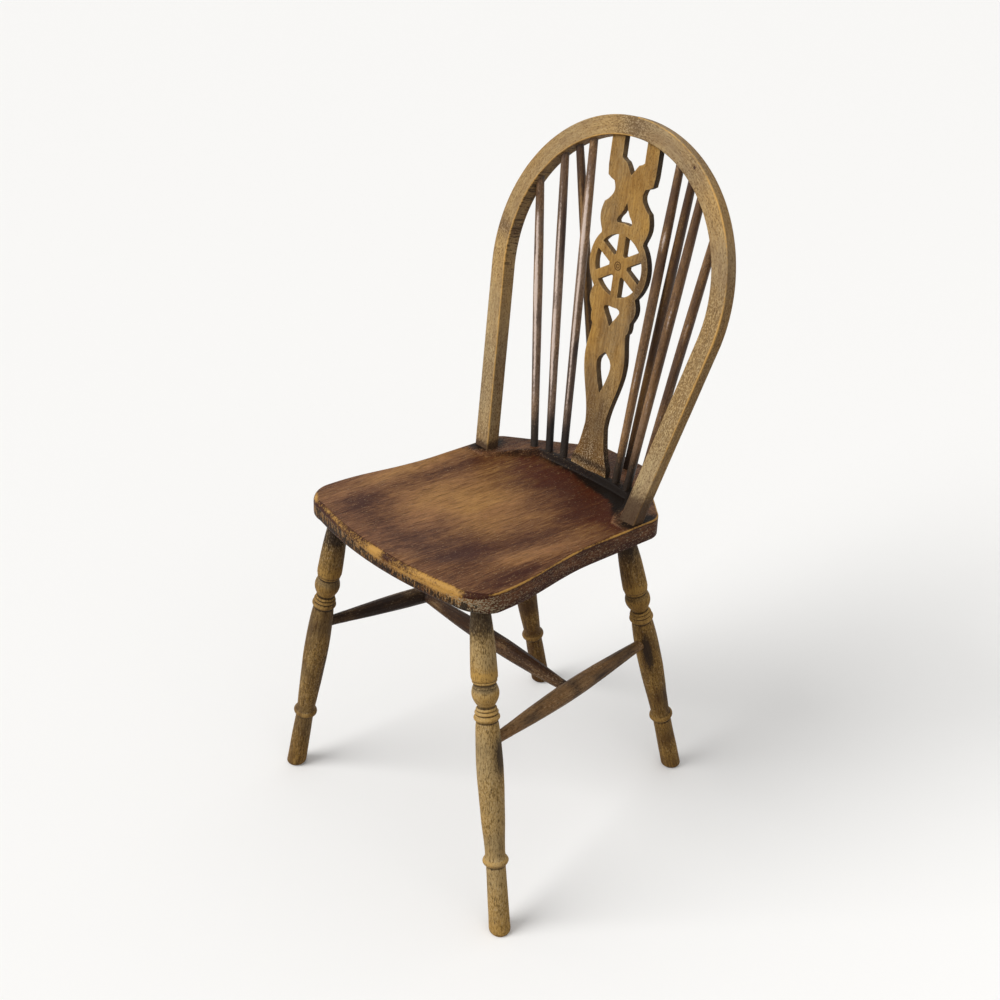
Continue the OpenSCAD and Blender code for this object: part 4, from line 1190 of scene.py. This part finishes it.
def makeSeat():
    # each ring is a share of the way to the ledge or the rim along every ray from the middle
    material = wornWood("worn seat wood", {**seatLook, "extra": seatFlecks})
    outline = seatOutline()
    closed = np.vstack([outline, outline[:1]])
    along = lengthAlong(closed)
    rim = pointsAt(np.linspace(0, along[-1], seat["around"], endpoint=False), along, closed)
    reach = np.hypot(*rim.T)[None, :]
    unit = rim / reach.T
    heading = np.arctan2(rim[:, 1], np.abs(rim[:, 0]))
    # the ledge's distance along each ray, from its outline
    ledgeX = np.linspace(0, seat["ledgeHalf"], 7)
    ledgeX[-1] -= seat["ledgeCorner"] / 2
    ledge = np.vstack([
        np.column_stack([ledgeX, chair["splatY"] - 1 - sticks["ledgeCurve"] * ledgeX ** 2]),
        seat["hollowEnd"]])
    closer = pointsAt(np.linspace(0, len(ledge) - 1, 400), np.arange(len(ledge)), ledge)
    ledgeAngle = np.arctan2(closer[:, 1], closer[:, 0])
    order = np.argsort(ledgeAngle)
    toLedge = np.interp(heading, ledgeAngle[order], np.hypot(*closer.T)[order],
                        left=1e3)[None, :]
    frontness = ease(*seat["frontZone"], rim[:, 1])[None, :]
    edge = seat["edgeSide"] + (seat["edgeFront"] - seat["edgeSide"]) * frontness
    toLedge = np.minimum(toLedge, reach - edge - 4)
    underIn = seat["underSide"] + (seat["bevelRun"] - seat["underSide"]) * frontness
    underUp = seat["underSide"] + (seat["bevelHeight"] - seat["underSide"]) * frontness

    # distance from the middle, ring by ring: hollow, step, ledge, edge, wall, bevel, underside
    core, half = seat["core"], seat["stepHalf"]
    inner = np.linspace(core, 1, 40)[:, None] * (toLedge - half)
    step = toLedge + np.linspace(0.5 - half, half - 0.5, 9)[:, None]
    outer = toLedge + half + np.linspace(0, 1, 18)[:, None] * (reach - edge - toLedge - half)
    turn = np.linspace(0, pi / 2, 9)[1:, None]
    over = reach - edge * (1 - np.sin(turn))
    wall = np.repeat(reach, 9, axis=0)
    under = reach - underIn * (1 - np.cos(turn))
    bottom = np.linspace(1, core, 22)[1:, None] * (reach - underIn)
    far = np.vstack([inner, step, outer, over, wall, under, bottom])
    x, y = far * unit[:, 0], far * unit[:, 1]

    place = np.stack([x, y * 0.5, np.zeros_like(x)], axis=-1)
    wear = softNoise(place, 17.0, 201)
    broad = softNoise(place, 60.0, 202)
    depth = hollowDepth(x, y) * ease(1, -1, (far - toLedge) / seat["ledgeEdge"])
    topRows = len(inner) + len(step) + len(outer)
    thick = seat["lift"] - chair["seatThickness"]
    wallFrom = topRows + len(over)
    underFrom = wallFrom + len(wall)
    bottomFrom = underFrom + len(under)
    z = np.zeros_like(x)
    z[:topRows] = -depth[:topRows]
    rimZ = z[topRows - 1]
    z[topRows:wallFrom] = rimZ - edge * (1 - np.cos(turn))
    t = np.linspace(0, 1, len(wall) + 2)[1:-1, None]
    z[wallFrom:underFrom] = (rimZ - edge) * (1 - t) + (thick + underUp) * t
    z[underFrom:bottomFrom] = thick + underUp * (1 - np.sin(turn))
    z[bottomFrom:] = thick
    row = np.arange(len(x))[:, None]
    onTop = 1.0 * (row < topRows)
    z = z + seat["topWear"] * wear * onTop
    # the rim is rubbed unevenly
    nearEdge = (row >= topRows - 3) & (row < wallFrom + 3)
    rubbed = softNoise(np.stack([x, y, z], -1), 22.0, 203)
    z = z - seat["rimWear"] * (rubbed + 0.4) * nearEdge * (0.4 + 1.6 * frontness)

    fromRim = reach - far
    onWall = 1.0 * ((row >= wallFrom) & (row < bottomFrom))
    below = 1.0 * (row >= bottomFrom)
    down = np.clip((rimZ - z) / chair["seatThickness"], 0, 1)
    onLedge = ease(-1, 1.5, far - toLedge) * onTop * (y > 45)
    warp = 10 * broad
    pale = patches(x + warp, y + 2 * warp, seat["pale"])
    dark = patches(x + warp, y + 2 * warp, seat["dark"])
    golden = patches(x + warp, y + 2 * warp, seat["golden"])
    tone = 0.40 + pale - dark + 0.08 * wear + 0.06 * broad
    warm = 0.28 + golden + 0.12 * broad
    arrisSide = ease(3.2, 0.6, np.hypot(fromRim, (z - rimZ) * 0.9)) * (1 - frontness)
    band = 0.12 + 0.30 * ease(-130, 40, x)  # how far down the front edge is rubbed
    arrisFront = ease(8.0, 4.0, fromRim) * ease(band + 0.14, band - 0.10, down) * frontness
    # painted shadow under the ledge step, stronger to the right; with painted shade under the sticks
    # and dirt round the bow's feet it makes the seat's grime
    stepGap = toLedge - far
    shadow = (hump(np.clip(stepGap, 0, None), 0, 16) * ease(-9.0, -3.0, stepGap) * onTop
              * (0.55 + 0.85 * ease(-30, 40, x)))
    posts = patches(np.abs(x), y, seat["roundPosts"]) * onTop
    shadeUnderSticks = patches(x, y, seat["shadeUnderSticks"]) * onTop
    grime_and_shade = shadow * ease(60, 110, y) + 0.7 * posts + 0.85 * shadeUnderSticks
    flecks = ease(band - 0.04, band + 0.08, down) * ease(0.85, 0.60, down) * frontness * onWall
    lower = ease(0.50, 0.85, down)
    corner = patches(x, y, seat["dustyCorner"]) * onWall
    marks = {
        "tone": tone * onTop * (1 - onLedge) + onLedge * (0.34 + 0.1 * wear)
                + onWall * (0.30 + 0.16 * frontness - 0.30 * lower + 0.15 * rubbed) + below * 0.45,
        "warm": warm * onTop * (1 - onLedge) + onLedge * 0.25
                + onWall * (0.45 + 0.5 * frontness - 0.3 * (x > 0) * (1 - frontness)
                            - 0.7 * corner) + below * 0.5,
        "wear_and_highlight": np.clip(arrisSide * (0.95 + 0.5 * rubbed)
                        + arrisFront * (0.58 + 0.45 * rubbed), 0, 1) * (1 - 0.6 * corner),
        "grime_and_shade": np.clip(grime_and_shade + 0.55 * lower * onWall * (0.5 + 0.5 * frontness)
                         + 0.25 * below + 0.15 * corner, 0, 1.2),
        "stipple": 0.2 + 0.4 * onLedge + 0.7 * onWall + 1.1 * corner + 0.2 * below,
        # flecks: black end-grain specks on the front edge, and a painted black shadow at the ledge
        # step
        "flecks": flecks + 0.7 * lower * frontness * onWall
                  + 1.6 * np.clip(shadow, 0, 1) * ease(75, 110, y) * ease(-40, 40, x)
                  + patches(x, y, seat["ledgeShadow"]) * onTop,
    }
    marks["tone"] = np.clip(marks["tone"], 0, 1) + 0.45 * corner
    spread = np.stack([x, y * cos(slope) + z * sin(slope),
                       seatTop(0) - y * sin(slope) + z * cos(slope)], axis=-1)
    marks["grain"] = np.stack([x, z, y], axis=-1) * mm
    makePiece("seat_carved", ["seat"], material, [ringShell(toMetres(spread), marks)])


def seatFlecks(recipe, grain, colour, height):
    # end grain of the front edge, open and black with dirt; where the flecks mark runs high at the
    # ledge step the same black paints a shadow
    spots = recipe.noise(grain, (360, 110, 40), 2, 0.6, 8.0)
    mask = recipe.step(spots + recipe.mark("flecks") * 0.26 - 0.22, 0.46, 0.58)
    mask = mask * recipe.step(recipe.mark("flecks"), 0.1, 0.6)
    specks = recipe.step(recipe.noise(grain, (620, 620, 260), 2, 0.6, 5.0), 0.62, 0.72)
    colour = recipe.blend(specks * 0.35, colour, tint(seat["speckTint"]))
    return recipe.blend(mask * 0.9, colour, tint(seat["blackTint"])), height - mask * 1.5


makeSeat()
print("seat carved")

# wedges and nail keep their solids and get their own finishes
wedgeLook = {"deep": "#6b5133", "pale": "#a98a5c", "dirt": "#33251a", "dirtCover": 0.7,
             "roughness": 0.7, "bump": 0.4, "bumpDepth": 0.0004}
nailLook = {"iron": "#2b2520", "rust": "#5a3420", "metal": 0.8, "roughness": 0.55,
            "bump": 0.5, "bumpDepth": 0.0003}


def wedgeWood(look):
    recipe = Recipe("dry wedge wood")
    place = recipe.node("ShaderNodeTexCoord").outputs["Object"]
    streaks = recipe.noise(place, (900, 90, 900), 3, 0.6, 1.0)
    dirt = recipe.noise(place, (240, 240, 240), 3, 0.6, 4.0)
    colour = recipe.blend(recipe.step(streaks, 0.3, 0.7), tint(look["deep"]), tint(look["pale"]))
    colour = recipe.blend(recipe.step(dirt, 0.5, 0.7) * look["dirtCover"], colour,
                          tint(look["dirt"]))
    return recipe.surface(colour, look["roughness"] - streaks * 0.1, streaks, look["bump"],
                          look["bumpDepth"])


def rustedIron(look):
    recipe = Recipe("rusted nail iron")
    place = recipe.node("ShaderNodeTexCoord").outputs["Object"]
    pits = recipe.noise(place, (1500, 1500, 1500), 3, 0.6, 1.0)
    rust = recipe.step(pits, 0.42, 0.60)
    colour = recipe.blend(rust, tint(look["iron"]), tint(look["rust"]))
    return recipe.surface(colour, look["roughness"] + rust * 0.3, pits, look["bump"],
                          look["bumpDepth"], Metallic=look["metal"] - rust * 0.7)


for names, material in ((("bow_wedge_left", "bow_wedge_right"), wedgeWood(wedgeLook)),
                        (("bow_nail",), rustedIron(nailLook))):
    for name in names:
        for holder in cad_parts[name].material_slots:
            holder.material = material
print("wedges and nail finished")
